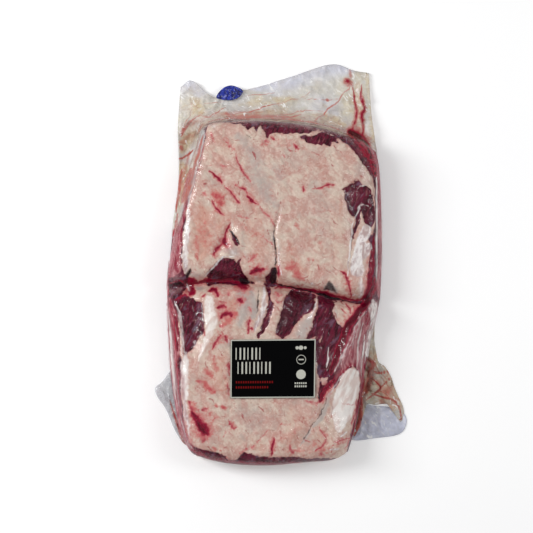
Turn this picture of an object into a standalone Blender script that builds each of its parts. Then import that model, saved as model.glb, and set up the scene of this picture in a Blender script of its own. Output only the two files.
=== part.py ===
"""Beef short ribs in a clear shrink bag: two raw rib slabs sealed end to end, lying flat.

The bag and the meat it grips are one solid, with a thin label plate and a crumpled
patch of blue film lying on it.  Lengths are in metres: +X runs across the slabs, +Y
runs along them to the bag's flat tail, and the pack rests on the plane z = 0.
"""

import math

import bmesh
import bpy
import numpy as np
from mathutils import Vector
from mathutils.bvhtree import BVHTree

# ---------------------------------------------------------------- driving dimensions

# The bag's edge from above, each side from west to east or from south to north.
SOUTH_EDGE = [(-0.100, -0.213), (-0.063, -0.223), (-0.018, -0.226), (0.027, -0.222),
              (0.055, -0.220), (0.075, -0.211)]
WEST_EDGE_LOWER = [(-0.100, -0.213), (-0.110, -0.198), (-0.118, -0.170), (-0.125, -0.125),
                   (-0.128, -0.074), (-0.129, -0.027)]
EAST_EDGE_LOWER = [(0.075, -0.211), (0.084, -0.180), (0.092, -0.136), (0.101, -0.085),
                   (0.112, -0.040)]
WEST_EDGE_UPPER = [(-0.129, -0.027), (-0.123, 0.039), (-0.116, 0.095), (-0.117, 0.150)]
EAST_EDGE_UPPER = [(0.112, -0.040), (0.114, 0.027), (0.112, 0.100), (0.108, 0.128)]
WEST_EDGE_TAIL = [(-0.117, 0.150), (-0.116, 0.178), (-0.114, 0.202)]
EAST_EDGE_TAIL = [(0.108, 0.128), (0.103, 0.165), (0.101, 0.192), (0.100, 0.218)]
NORTH_EDGE = [(-0.114, 0.202), (-0.101, 0.209), (-0.076, 0.190), (-0.060, 0.202),
              (-0.043, 0.198), (0.010, 0.213), (0.057, 0.228), (0.082, 0.221),
              (0.100, 0.218)]
# The gap between the two slabs, from west to east.
SEAM = [(-0.129, -0.027), (-0.099, -0.026), (-0.058, -0.020), (-0.013, -0.024),
        (0.037, -0.034), (0.070, -0.041), (0.112, -0.040)]

# The upper slab's end, carried on to both edges of the bag.
SLAB_END = [(-0.117, 0.150), (-0.103, 0.151), (-0.086, 0.157), (-0.046, 0.163),
            (0.010, 0.161), (0.060, 0.151), (0.094, 0.137), (0.108, 0.128)]

# The two slabs together, clockwise from the seam's west end.
MEAT_OUTLINE = [(-0.128, -0.026), (-0.122, 0.021), (-0.112, 0.072), (-0.096, 0.130),
                (-0.085, 0.157), (-0.046, 0.163), (0.010, 0.161), (0.060, 0.151),
                (0.097, 0.134), (0.109, 0.106), (0.111, 0.049), (0.109, -0.042),
                (0.096, -0.080), (0.088, -0.130), (0.080, -0.182), (0.068, -0.214),
                (0.026, -0.222), (-0.029, -0.225), (-0.080, -0.219), (-0.105, -0.203),
                (-0.116, -0.150), (-0.124, -0.080)]

SLAB_THICKNESS = 0.052
EDGE_HEIGHT = 0.020            # height of the slabs' side where it is widest
SHOULDER_WEST = 0.018          # width over which a slab's side turns into its top
SHOULDER_EAST = 0.028
SHOULDER_CHANGE = (0.030, 0.095)   # the stretch of +X over which one becomes the other
SHOULDER_ROUNDNESS = 2.2       # 1 is a bevel, 2 is an ellipse
FILM_REACH_SIDE = 0.012        # how far the film leans out from the meat
FILM_REACH_TAIL = 0.042
FILM_HEIGHT_SIDE = 0.008       # height of the film's edge along the slabs
FILM_HEIGHT_TAIL = 0.0022      # and round the tail
TAIL_CHANGE = (0.150, 0.190)   # the stretch of +Y over which the side becomes the tail
UNDERCUT = ((0.988, 0.40), (0.982, 0.0))   # below the edge: share of plan, share of height

SEAM_DEPTH = 0.013
SEAM_DEPTH_AT_SIDE = 0.003
SEAM_HALF_WIDTH = 0.009

# Creases pressed in (negative) and folds raised: route, half width, height.
CREASES = [
    ([(0.003, 0.093), (-0.002, 0.058), (-0.006, 0.019), (-0.004, -0.020)], 0.006, -0.0045),
    ([(-0.055, 0.040), (-0.061, 0.024), (-0.070, 0.013)], 0.006, -0.0030),
    ([(0.071, -0.121), (0.053, -0.143), (0.044, -0.167), (0.029, -0.187), (0.017, -0.209)],
     0.008, -0.0060),
    ([(0.016, -0.184), (0.004, -0.196), (-0.018, -0.208)], 0.006, 0.0035),
    ([(-0.116, 0.155), (-0.092, 0.170), (-0.062, 0.175)], 0.006, 0.0030),
    ([(-0.043, 0.171), (-0.012, 0.178), (0.030, 0.193)], 0.006, 0.0034),
    ([(0.080, 0.202), (0.053, 0.174), (0.034, 0.158)], 0.006, 0.0040),
    ([(0.091, 0.205), (0.092, 0.182), (0.091, 0.166)], 0.005, 0.0036),
    ([(-0.110, 0.186), (-0.090, 0.190), (-0.078, 0.180)], 0.006, 0.0028),
]
# Hollows (negative) and swells of the slabs' faces: centre, half lengths, turn, height.
FORMS = [
    ((-0.102, -0.069), (0.016, 0.033), 0, -0.0050),
    ((0.018, -0.055), (0.014, 0.026), -25, -0.0045),
    ((0.058, -0.080), (0.014, 0.040), -28, -0.0045),
    ((-0.059, -0.009), (0.025, 0.014), 0, -0.0040),
    ((0.086, 0.060), (0.014, 0.032), 0, -0.0045),
    ((0.085, 0.010), (0.012, 0.026), 5, -0.0030),
    ((-0.045, 0.085), (0.055, 0.060), 15, 0.0030),
    ((0.040, 0.080), (0.042, 0.055), 0, 0.0022),
    ((-0.070, -0.150), (0.040, 0.060), 0, 0.0020),
    ((0.070, -0.160), (0.020, 0.034), -15, -0.0060),
]

# Empty corners of the bag beside the lower slab: outline from above, crown, rim.
EAST_FLAP = [(0.106, -0.084), (0.112, -0.108), (0.123, -0.124), (0.128, -0.143),
             (0.137, -0.157), (0.142, -0.174), (0.139, -0.187), (0.130, -0.192),
             (0.108, -0.196), (0.078, -0.197), (0.066, -0.180), (0.074, -0.140),
             (0.086, -0.100)]
WEST_FLAP = [(-0.122, -0.119), (-0.134, -0.131), (-0.143, -0.146), (-0.137, -0.162),
             (-0.130, -0.179), (-0.119, -0.199), (-0.104, -0.207), (-0.102, -0.190),
             (-0.106, -0.160), (-0.112, -0.135)]
EAST_FLAP_CROWN = 0.011
WEST_FLAP_CROWN = 0.007
FLAP_RIM = 0.0018
FLAP_LIFT = 0.0004             # the flaps lie just clear of the ground
FLAP_PLEATS = 3
FLAP_PLEAT_DEPTH = 0.30        # as a share of the crown

# Label: corners from its north-west one, clockwise.
LABEL_CORNERS = [(-0.0560, -0.0850), (0.0375, -0.0842), (0.0365, -0.1485), (-0.0562, -0.1490)]
LABEL_THICKNESS = 0.0005
LABEL_CORNER_RADIUS = 0.0025
TOUCH_GAP = 0.0003             # kept between two pieces that lie on each other
TOUCH_REACH = 0.004            # a laid piece clears the bag's highest point this near

# Blue patch of film on the tail's edge, clockwise from its west end.
BLUE_PATCH = [(-0.0735, 0.1888), (-0.0700, 0.1950), (-0.0650, 0.1990), (-0.0570, 0.2000),
              (-0.0500, 0.1985), (-0.0450, 0.1960), (-0.0452, 0.1915), (-0.0520, 0.1870),
              (-0.0610, 0.1855), (-0.0680, 0.1868)]
BLUE_PATCH_CROWN = 0.0022
BLUE_PATCH_THICKNESS = 0.0005
BLUE_PATCH_PUCKERS = 5
BLUE_PATCH_PUCKER_DEPTH = 0.35

# Cells of the bag's upper face, and how far they crowd towards the ends of each run.
COLUMNS = 42
COLUMN_CROWDING = 0.60
ROWS_LOWER = 31
ROWS_UPPER = 31
ROWS_TAIL = 11
ROW_CROWDING = 0.45
LABEL_COLUMNS = 16
LABEL_ROWS = 11
FLAP_SIDES = 32
BLUE_PATCH_SIDES = 22
PILLOW_RINGS = 8

# ---------------------------------------------------------------- curves and distances


def smooth_curve(points, at, closed=False):
    """Points at fractions `at` of the length of a Catmull-Rom curve through `points`."""
    pts = np.array(points, dtype=float)
    if closed:
        padded = np.vstack([pts[-1], pts, pts[0], pts[1]])
    else:
        padded = np.vstack([2 * pts[0] - pts[1], pts, 2 * pts[-1] - pts[-2]])
    t = np.linspace(0.0, 1.0, 17)[:-1, None]
    pieces = []
    for a, b, c, d in zip(padded, padded[1:], padded[2:], padded[3:]):
        pieces.append(0.5 * (2 * b + (c - a) * t + (2 * a - 5 * b + 4 * c - d) * t ** 2
                             + (3 * b - a - 3 * c + d) * t ** 3))
    curve = np.vstack(pieces + [padded[-2]])
    steps = np.linalg.norm(np.diff(curve, axis=0), axis=1)
    length = np.concatenate([[0.0], np.cumsum(steps)])
    where = np.asarray(at) * length[-1]
    return np.stack([np.interp(where, length, curve[:, k]) for k in range(2)], axis=-1)


def distance_to(x, y, curve):
    """Distance from each (x, y) to the nearest point of an open chain of segments."""
    here = np.stack([x, y], axis=-1)[..., None, :]
    start = curve[:-1]
    run = curve[1:] - start
    along = np.clip(((here - start) * run).sum(-1) / (run * run).sum(-1), 0.0, 1.0)
    gap = here - start - along[..., None] * run
    return np.sqrt((gap * gap).sum(-1)).min(-1)


def depth_inside(x, y, ring):
    """Distance to a closed ring, positive inside it and negative outside."""
    loop = np.vstack([ring, ring[:1]])
    ax, ay = loop[:-1, 0], loop[:-1, 1]
    bx, by = loop[1:, 0], loop[1:, 1]
    px, py = x[..., None], y[..., None]
    spans = (ay > py) != (by > py)
    rise = np.where(by == ay, 1.0, by - ay)
    crossings = (spans & (px < ax + (py - ay) * (bx - ax) / rise)).sum(-1)
    return np.where(crossings % 2 == 1, 1.0, -1.0) * distance_to(x, y, loop)


def ramp(value, low, high):
    """0 below `low`, 1 above `high`, with a smooth S between."""
    t = np.clip((value - low) / (high - low), 0.0, 1.0)
    return t * t * (3.0 - 2.0 * t)


# ---------------------------------------------------------------- the pack's upper face


def crease(x, y, route, half_width, height):
    """A bell-shaped ridge or furrow along a route."""
    curve = smooth_curve(route, np.linspace(0.0, 1.0, 25))
    return height * np.exp(-(distance_to(x, y, curve) / half_width) ** 2)


def form(x, y, centre, half_lengths, turn, height):
    """A soft oval swell or hollow, turned by `turn` degrees."""
    c, s = math.cos(math.radians(turn)), math.sin(math.radians(turn))
    dx, dy = x - centre[0], y - centre[1]
    u = (c * dx + s * dy) / half_lengths[0]
    v = (c * dy - s * dx) / half_lengths[1]
    return height * np.exp(-(u * u + v * v) ** 1.5)


def pack_height(x, y):
    """Height of the film over the slabs, their sides and the tail."""
    ring = smooth_curve(MEAT_OUTLINE, np.linspace(0.0, 1.0, 200)[:-1], closed=True)
    inside = depth_inside(x, y, ring)
    east = ramp(x, *SHOULDER_CHANGE)
    shoulder = SHOULDER_WEST + (SHOULDER_EAST - SHOULDER_WEST) * east
    turn = 1.0 - np.clip(inside / shoulder, 0.0, 1.0)
    rise = (1.0 - turn ** SHOULDER_ROUNDNESS) ** (1.0 / SHOULDER_ROUNDNESS)
    tail = ramp(y, *TAIL_CHANGE)
    reach = FILM_REACH_SIDE + (FILM_REACH_TAIL - FILM_REACH_SIDE) * tail
    foot = FILM_HEIGHT_SIDE + (FILM_HEIGHT_TAIL - FILM_HEIGHT_SIDE) * tail
    fall = (1.0 - np.clip(-inside / reach, 0.0, 1.0)) ** 2
    height = foot + (EDGE_HEIGHT - foot) * fall + (SLAB_THICKNESS - EDGE_HEIGHT) * rise
    seam = smooth_curve(SEAM, np.linspace(0.0, 1.0, 40))
    furrow = np.exp(-(distance_to(x, y, seam) / SEAM_HALF_WIDTH) ** 2)
    height -= furrow * (SEAM_DEPTH_AT_SIDE + (SEAM_DEPTH - SEAM_DEPTH_AT_SIDE) * rise)
    for centre, half_lengths, angle, amount in FORMS:
        height += form(x, y, centre, half_lengths, angle, amount) * rise
    for route, half_width, amount in CREASES:
        height += crease(x, y, route, half_width, amount)
    return height


def crowded(count, crowding):
    """Steps from 0 to 1, closer together towards both ends as `crowding` nears 1."""
    t = np.linspace(0.0, 1.0, count + 1)
    return t - crowding * np.sin(2.0 * np.pi * t) / (2.0 * np.pi)


def patch(south, north, west, east, rows, row_crowding):
    """Plan points of a patch stretched between four edge curves that meet at corners."""
    u = crowded(COLUMNS, COLUMN_CROWDING)
    v = crowded(rows, row_crowding)
    s, n = smooth_curve(south, u), smooth_curve(north, u)
    w, e = smooth_curve(west, v), smooth_curve(east, v)
    uu, vv = u[None, :, None], v[:, None, None]
    across = (1 - vv) * s[None] + vv * n[None]
    along = (1 - uu) * w[:, None] + uu * e[:, None]
    corners = ((1 - uu) * (1 - vv) * s[0] + uu * (1 - vv) * s[-1]
               + (1 - uu) * vv * n[0] + uu * vv * n[-1])
    return across + along - corners


# ---------------------------------------------------------------- scene helpers


def collection(name):
    group = bpy.data.collections.new(name)
    bpy.context.scene.collection.children.link(group)
    return group


def material(name, colour, roughness):
    mat = bpy.data.materials.new(name)
    mat.use_nodes = True
    shader = mat.node_tree.nodes["Principled BSDF"]
    shader.inputs["Base Color"].default_value = (*colour, 1.0)
    shader.inputs["Roughness"].default_value = roughness
    return mat


def add_object(name, bm, group, mat=None):
    bmesh.ops.recalc_face_normals(bm, faces=bm.faces)
    if bm.calc_volume(signed=True) < 0.0:
        bmesh.ops.reverse_faces(bm, faces=bm.faces)
    mesh = bpy.data.meshes.new(name)
    bm.to_mesh(mesh)
    bm.free()
    obj = bpy.data.objects.new(name, mesh)
    group.objects.link(obj)
    if mat is not None:
        mesh.materials.append(mat)
    for face in mesh.polygons:
        face.use_smooth = True
    mesh.set_sharp_from_angle(angle=math.radians(50))
    return obj


def grid_mesh(plan, heights):
    """A bmesh grid whose vertices are moved to plan points and heights."""
    rows, columns = heights.shape
    bm = bmesh.new()
    made = bmesh.ops.create_grid(bm, x_segments=columns - 1, y_segments=rows - 1, size=1.0)
    order = sorted(made["verts"], key=lambda v: (round(v.co.y, 6), round(v.co.x, 6)))
    for vert, (x, y), z in zip(order, plan.reshape(-1, 2), heights.ravel()):
        vert.co = (x, y, z)
    return bm


def close_below(bm, rings):
    """Take the open edge down in rings, drawn in about the origin, and fill the last one."""
    edge = [e for e in bm.edges if e.is_boundary]
    for scale, height in rings:
        made = bmesh.ops.extrude_edge_only(bm, edges=edge)["geom"]
        edge = [g for g in made if isinstance(g, bmesh.types.BMEdge)]
        for vert in [g for g in made if isinstance(g, bmesh.types.BMVert)]:
            vert.co = (vert.co.x * scale, vert.co.y * scale, vert.co.z * height)
    bmesh.ops.edgeloop_fill(bm, edges=edge)


# ---------------------------------------------------------------- pieces


def build_bag(group, mat):
    """Both slabs and the film round them, as three patches from south to north."""
    lower = patch(SOUTH_EDGE, SEAM, WEST_EDGE_LOWER, EAST_EDGE_LOWER, ROWS_LOWER, ROW_CROWDING)
    upper = patch(SEAM, SLAB_END, WEST_EDGE_UPPER, EAST_EDGE_UPPER, ROWS_UPPER, ROW_CROWDING)
    tail = patch(SLAB_END, NORTH_EDGE, WEST_EDGE_TAIL, EAST_EDGE_TAIL, ROWS_TAIL, 0.0)
    plan = np.concatenate([lower, upper[1:], tail[1:]])
    heights = pack_height(plan[..., 0], plan[..., 1])
    bm = grid_mesh(plan, heights)
    surface = BVHTree.FromBMesh(bm)
    close_below(bm, UNDERCUT)
    return add_object("vacuum_bag", bm, group, mat), surface


def pillow(outline, sides, surface_height):
    """A ball flattened to fill a closed outline.

    `surface_height(plan, out, turn, above)` gives each vertex its height from its plan
    point, its share of the way out to the rim, its turn round the middle (0 to 1) and
    whether it is on the upper half.
    """
    bm = bmesh.new()
    bmesh.ops.create_uvsphere(bm, u_segments=sides, v_segments=PILLOW_RINGS, radius=1.0)
    middle = smooth_curve(outline, np.arange(sides) / sides, closed=True).mean(axis=0)
    for vert in bm.verts:
        out = math.hypot(vert.co.x, vert.co.y)
        turn = math.atan2(vert.co.y, vert.co.x) / (2.0 * math.pi) % 1.0
        rim = smooth_curve(outline, [turn], closed=True)[0]
        plan = middle + (rim - middle) * out
        vert.co = (*plan, surface_height(plan, out, turn, vert.co.z > -1e-6))
    return bm


def build_flap(name, outline, crown, group):
    """An empty corner of the bag, flat below, puffed and pleated above."""

    def surface_height(plan, out, turn, above):
        if not above:
            return FLAP_LIFT
        pleats = 1.0 + FLAP_PLEAT_DEPTH * math.sin(2.0 * math.pi * FLAP_PLEATS * turn)
        return FLAP_LIFT + FLAP_RIM + crown * (1.0 - out ** 2) * pleats

    flap = add_object(name, pillow(outline, FLAP_SIDES, surface_height), group)
    flap.hide_render = True
    flap.display_type = "WIRE"
    return flap


def join_flap(bag, flap):
    union = bag.modifiers.new(flap.name, "BOOLEAN")
    union.operation = "UNION"
    union.solver = "EXACT"
    union.object = flap


def resting_height(surface, x, y):
    """The highest point of the bag near a plan point, with the touching gap above it."""
    offsets = [(0.0, 0.0)]
    for turn in range(0, 360, 60):
        offsets.append((TOUCH_REACH * math.cos(math.radians(turn)),
                        TOUCH_REACH * math.sin(math.radians(turn))))
    highest = 0.0
    for across, along in offsets:
        start = Vector((x + across, y + along, 1.0))
        hit = surface.ray_cast(start, Vector((0.0, 0.0, -1.0)))[0]
        if hit is not None:
            highest = max(highest, hit.z)
    return highest + TOUCH_GAP


def build_label(surface, group, mat):
    """A thin plate with rounded corners that bends with the bag under it."""
    north_west, north_east, south_east, south_west = np.array(LABEL_CORNERS)
    u = np.linspace(0.0, 1.0, LABEL_COLUMNS + 1)[None, :, None]
    v = np.linspace(0.0, 1.0, LABEL_ROWS + 1)[:, None, None]
    plan = ((1 - v) * ((1 - u) * south_west + u * south_east)
            + v * ((1 - u) * north_west + u * north_east))
    heights = np.array([[resting_height(surface, x, y) for x, y in row] for row in plan])
    bm = grid_mesh(plan, heights)
    corners = [v for v in bm.verts if len(v.link_faces) == 1]
    made = bmesh.ops.extrude_face_region(bm, geom=list(bm.faces))["geom"]
    for vert in [g for g in made if isinstance(g, bmesh.types.BMVert)]:
        vert.co.z += LABEL_THICKNESS
    upright = [e for v in corners for e in v.link_edges
               if e.other_vert(v).co.xy == v.co.xy]
    bmesh.ops.bevel(bm, geom=upright, offset=LABEL_CORNER_RADIUS, segments=3, profile=0.5,
                    affect="EDGES")
    return add_object("front_label", bm, group, mat)


def build_blue_patch(surface, group, mat):
    """A small crumpled scrap of film, puckered on top."""

    def surface_height(plan, out, turn, above):
        rest = resting_height(surface, *plan)
        if not above:
            return rest
        wave = math.sin(2.0 * math.pi * BLUE_PATCH_PUCKERS * turn + 9.0 * out)
        swell = BLUE_PATCH_CROWN * (1.0 - out ** 2) * (1.0 + BLUE_PATCH_PUCKER_DEPTH * wave)
        return rest + BLUE_PATCH_THICKNESS + swell

    bm = pillow(BLUE_PATCH, BLUE_PATCH_SIDES, surface_height)
    return add_object("blue_seal_patch", bm, group, mat)


def main():
    for obj in list(bpy.data.objects):
        bpy.data.objects.remove(obj)
    pack = collection("beef_short_ribs")
    shapes = collection("joining_shapes")
    meat = material("film_over_meat", (0.52, 0.30, 0.27), 0.22)
    black = material("label_black", (0.008, 0.008, 0.010), 0.45)
    blue = material("blue_film", (0.020, 0.040, 0.330), 0.30)
    bag, surface = build_bag(pack, meat)
    join_flap(bag, build_flap("east_flap", EAST_FLAP, EAST_FLAP_CROWN, shapes))
    join_flap(bag, build_flap("west_flap", WEST_FLAP, WEST_FLAP_CROWN, shapes))
    build_label(surface, pack, black)
    build_blue_patch(surface, pack, blue)


main()
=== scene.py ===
"""Beef short ribs in a clear shrink bag: the looks of the pack.

Two raw slabs of ribs lie end to end in one bag with a label on it.  Lengths are in metres,
and a list of plan places says so where it is in millimetres.
"""
import math

import bpy
import numpy as np
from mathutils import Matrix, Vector


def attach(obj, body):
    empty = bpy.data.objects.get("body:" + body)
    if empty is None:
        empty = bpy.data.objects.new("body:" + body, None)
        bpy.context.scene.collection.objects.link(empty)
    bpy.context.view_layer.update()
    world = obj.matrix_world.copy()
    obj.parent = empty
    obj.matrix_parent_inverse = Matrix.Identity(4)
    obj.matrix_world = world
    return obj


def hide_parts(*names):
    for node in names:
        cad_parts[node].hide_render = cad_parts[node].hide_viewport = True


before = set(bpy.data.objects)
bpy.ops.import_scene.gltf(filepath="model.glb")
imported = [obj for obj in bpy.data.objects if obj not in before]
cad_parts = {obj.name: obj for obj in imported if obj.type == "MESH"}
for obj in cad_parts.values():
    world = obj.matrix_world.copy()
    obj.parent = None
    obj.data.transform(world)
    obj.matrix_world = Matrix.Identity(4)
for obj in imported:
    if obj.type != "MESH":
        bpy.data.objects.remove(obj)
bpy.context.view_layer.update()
MM = 0.001

# ------------------------------------------------------------------ the table and the light
# A plain white table. One soft box stands to the left and a weaker one to the right, both
# about 45 degrees up, so that they glance off the pack's shoulders and not off its top.

TABLE_SIZE = 6.0
ROOM_LIGHT = 0.42
LAMP_DISTANCE = 1.6
KEY = {"side": -1, "lean": 47, "north": 0.25, "size": (0.42, 1.0), "power": 16.5}
FILL = {"side": 1, "lean": 46, "north": 0.10, "size": (0.34, 0.9), "power": 5.5}
CAMERA_AIM = (-0.0166, -0.0046, 0.050)
CAMERA_ELEVATION = 87.0
CAMERA_DISTANCE = 1.75
CAMERA_LENS = 107.45


def srgb(red, green, blue):
    """A colour as a screen shows it, 0 to 255 a channel, turned into the shaders' linear light."""
    screen = np.array([red, green, blue]) / 255.0
    linear = np.where(screen <= 0.04045, screen / 12.92, ((screen + 0.055) / 1.055) ** 2.4)
    return (*linear.tolist(), 1.0)


def add(tree, kind, sockets=None, **settings):
    """A shader node with its settings made and its sockets set, or linked where given a socket."""
    made = tree.nodes.new("ShaderNode" + kind)
    for name, value in settings.items():
        setattr(made, name, value)
    for name, value in (sockets or {}).items():
        if isinstance(value, bpy.types.NodeSocket):
            tree.links.new(value, made.inputs[name])
        else:
            made.inputs[name].default_value = value
    return made


def span(tree, value, low, high, to_low=0.0, to_high=1.0):
    """Carry low..high over to to_low..to_high with a smooth S, and stop at both ends."""
    made = add(tree, "MapRange", {"Value": value, "From Min": low, "From Max": high,
                                  "To Min": to_low, "To Max": to_high},
               interpolation_type="SMOOTHSTEP")
    return made.outputs["Result"]


def maths(tree, operation, first, second=0.0, third=0.0, clamp=False):
    made = add(tree, "Math", {0: first, 1: second, 2: third}, operation=operation,
               use_clamp=clamp)
    return made.outputs[0]


class Look:
    """A material being made, and short ways to add nodes to it. Colours are 0 to 255 a channel."""

    def __init__(self, name):
        self.made = bpy.data.materials.new(name)
        self.made.use_nodes = True
        self.tree = self.made.node_tree
        self.tree.nodes.clear()
        self.here = self.add("TexCoord").outputs["Object"]

    def add(self, kind, sockets=None, **settings):
        return add(self.tree, kind, sockets, **settings)

    def maths(self, operation, *values, clamp=False):
        return maths(self.tree, operation, *values, clamp=clamp)

    def times(self, first, second):
        return self.maths("MULTIPLY", first, second)

    def span(self, *levels):
        return span(self.tree, *levels)

    def attribute(self, name):
        return self.add("Attribute", attribute_name=name).outputs["Fac"]

    def noise(self, scale, detail=3.0, distortion=0.0, longer=1.0, turn=0.0, where=None):
        """Random shading, 0 to 1, `scale` cells to the metre, drawn out along `turn` degrees."""
        if where is None:
            where = self.here
        if longer != 1.0:
            where = self.add("Mapping", {
                "Vector": where, "Rotation": (0.0, 0.0, math.radians(turn)),
                "Scale": (longer, 1.0, 1.0)}, vector_type="TEXTURE").outputs["Vector"]
        return self.add("TexNoise", {"Vector": where, "Scale": scale, "Detail": detail,
                                     "Distortion": distortion}).outputs["Fac"]

    def mix(self, share, *colours):
        """The first colour with `share` of the second laid over it."""
        first, second = (srgb(*c) if isinstance(c, tuple) else c for c in colours)
        return self.add("Mix", {0: share, 6: first, 7: second}, data_type="RGBA").outputs[2]

    def lay(self, base, mask, amount, colour):
        """A colour laid over a base where a mask says, at `amount` of the mask's strength."""
        return self.mix(self.times(mask, amount), base, colour)

    def bump(self, height, strength, distance):
        return self.add("Bump", {"Height": height, "Strength": strength,
                                 "Distance": distance}).outputs[0]

    def principled(self, colour, roughness, others):
        return self.add("BsdfPrincipled", {"Base Color": colour, "Roughness": roughness, **others})

    def done(self, shader):
        self.add("OutputMaterial", {"Surface": shader.outputs[0]})
        return self.made


def place(made, away, distance, aim=(0.0, 0.0, 0.0)):
    """Set a lamp or camera `distance` off `aim`, turned to it, and put it in the scene."""
    made.location = Vector(aim) + away.normalized() * distance
    made.rotation_euler = away.to_track_quat("Z", "Y").to_euler()
    bpy.context.scene.collection.objects.link(made)
    return made


def add_softbox(name, side, lean, north, size, power):
    """A rectangular lamp `lean` degrees from upright on one side, turned to the pack's middle."""
    data = bpy.data.lights.new(name, "AREA")
    data.shape = "RECTANGLE"
    data.size, data.size_y = size
    data.energy = power
    up, out = math.cos(math.radians(lean)), math.sin(math.radians(lean))
    place(bpy.data.objects.new(name, data), Vector((side * out, north * out, up)), LAMP_DISTANCE)


def add_room_light():
    """Even white light from all round; the camera itself sees plain white."""
    world = bpy.data.worlds.new("studio")
    world.use_nodes = True
    tree = world.node_tree
    tree.nodes.clear()
    seen, lit = (add(tree, "Background", {"Color": (1.0, 1.0, 1.0, 1.0), "Strength": strength})
                 for strength in (1.0, ROOM_LIGHT))
    path = add(tree, "LightPath")
    both = add(tree, "MixShader", {0: path.outputs["Is Camera Ray"], 1: lit.outputs[0],
                                   2: seen.outputs[0]})
    add(tree, "OutputWorld", {"Surface": both.outputs[0]})
    bpy.context.scene.world = world


def add_camera():
    """A long lens, 3 degrees south of straight down."""
    up = math.radians(CAMERA_ELEVATION)
    data = bpy.data.cameras.new("camera")
    data.sensor_width = 36.0
    data.lens = CAMERA_LENS
    bpy.context.scene.camera = place(bpy.data.objects.new("camera", data), Vector(
        (0.0, -math.cos(up), math.sin(up))), CAMERA_DISTANCE, CAMERA_AIM)


# White laminate: a hair of tone in it, and a little light of its own as a lit sweep has.
laminate = Look("table_white")
tone = laminate.mix(laminate.noise(3.0), (243, 243, 244), (248, 248, 248))
laminate.done(laminate.principled(tone, 0.6, {"Emission Color": (1.0, 1.0, 1.0, 1.0),
                                              "Emission Strength": 0.16}))
half_table = TABLE_SIZE / 2.0
table_mesh = bpy.data.meshes.new("table")
table_mesh.from_pydata([(-half_table, -half_table, 0.0), (half_table, -half_table, 0.0),
                        (half_table, half_table, 0.0), (-half_table, half_table, 0.0)],
                       [], [(0, 1, 2, 3)])
table_mesh.materials.append(laminate.made)
table = bpy.data.objects.new("table", table_mesh)
bpy.context.scene.collection.objects.link(table)
add_softbox("key", **KEY)
add_softbox("fill", **FILL)
add_room_light()
add_camera()
bpy.context.scene.view_settings.view_transform = "Standard"

# ------------------------------------------------------------------ the pack's form
# The film is drawn down hard on the meat, so film and slabs share one shape: a flat top, steep
# shoulders, a furrow where the slabs meet, and a thin tail. These are the frame's own sizes.

SOUTH_EDGE = [(-100, -213), (-63, -223), (-18, -226), (27, -222), (55, -220), (75, -211)]
WEST_EDGE_LOWER = [(-100, -213), (-110, -198), (-118, -170), (-125, -125), (-128, -74),
                   (-129, -27)]
EAST_EDGE_LOWER = [(75, -211), (84, -180), (92, -136), (101, -85), (112, -40)]
WEST_EDGE_UPPER = [(-129, -27), (-123, 39), (-116, 95), (-117, 150)]
EAST_EDGE_UPPER = [(112, -40), (114, 27), (112, 100), (108, 128)]
WEST_EDGE_TAIL = [(-117, 150), (-116, 178), (-114, 202)]
EAST_EDGE_TAIL = [(108, 128), (103, 165), (101, 192), (100, 218)]
NORTH_EDGE = [(-114, 202), (-101, 209), (-76, 190), (-60, 202), (-43, 198), (10, 213), (57, 228),
              (82, 221), (100, 218)]
SEAM = [(-129, -27), (-99, -26), (-58, -20), (-13, -24), (37, -34), (70, -41), (112, -40)]
SLAB_END = [(-117, 150), (-103, 151), (-86, 157), (-46, 163), (10, 161), (60, 151), (94, 137),
            (108, 128)]
MEAT_OUTLINE = [(-128, -26), (-122, 21), (-112, 72), (-96, 130), (-85, 157), (-46, 163), (10, 161),
                (60, 151), (97, 134), (109, 106), (111, 49), (109, -42), (96, -80), (88, -130),
                (80, -182), (68, -214), (26, -222), (-29, -225), (-80, -219), (-105, -203),
                (-116, -150), (-124, -80)]

SLAB_THICKNESS = 0.052
EDGE_HEIGHT = 0.020
SHOULDER_WEST, SHOULDER_EAST = 0.018, 0.028
SHOULDER_CHANGE = (0.030, 0.095)
SHOULDER_ROUNDNESS = 2.2
FILM_REACH_SIDE, FILM_REACH_TAIL = 0.012, 0.042
FILM_HEIGHT_SIDE, FILM_HEIGHT_TAIL = 0.008, 0.0022
TAIL_CHANGE = (0.150, 0.190)
SEAM_DEPTH, SEAM_DEPTH_AT_SIDE, SEAM_HALF_WIDTH = 0.013, 0.003, 0.009

# Creases pressed in (negative) and folds raised: route in millimetres, half width, height.
CREASES = [
    ([(-3, 52), (-7, 38), (-7, 16), (-5, 4), (-7, -18)], 0.0019, -0.002),
    ([(-55, 40), (-61, 24), (-70, 13)], 0.006, -0.003),
    ([(71, -113), (57, -131), (48, -147), (44, -163), (32, -180), (20, -200), (14, -214)],
     0.004, -0.001),
    ([(16, -184), (4, -196), (-18, -208)], 0.006, 0.0014),
    ([(-116, 155), (-92, 170), (-62, 175)], 0.006, 0.003),
    ([(-43, 171), (-12, 178), (30, 193)], 0.006, 0.0034),
    ([(80, 202), (53, 174), (34, 158)], 0.006, 0.004),
    ([(91, 205), (92, 182), (91, 166)], 0.005, 0.0036),
    ([(-110, 186), (-90, 190), (-78, 180)], 0.006, 0.0028),
]
# Hollows and swells: centre and half lengths in millimetres, turn, height.
FORMS = [
    ((-102, -69), (16, 33), 0, -0.0050), ((18, -55), (14, 26), -25, -0.0045),
    ((58, -80), (14, 40), -28, -0.0045), ((-59, -9), (25, 14), 0, -0.0040),
    ((86, 60), (14, 32), 0, -0.0045), ((85, 10), (12, 26), 5, -0.0030),
    ((-45, 85), (55, 60), 15, 0.0030), ((40, 80), (42, 55), 0, 0.0022),
    ((-70, -150), (40, 60), 0, 0.0020), ((70, -160), (20, 34), -15, -0.0060),
]


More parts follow.
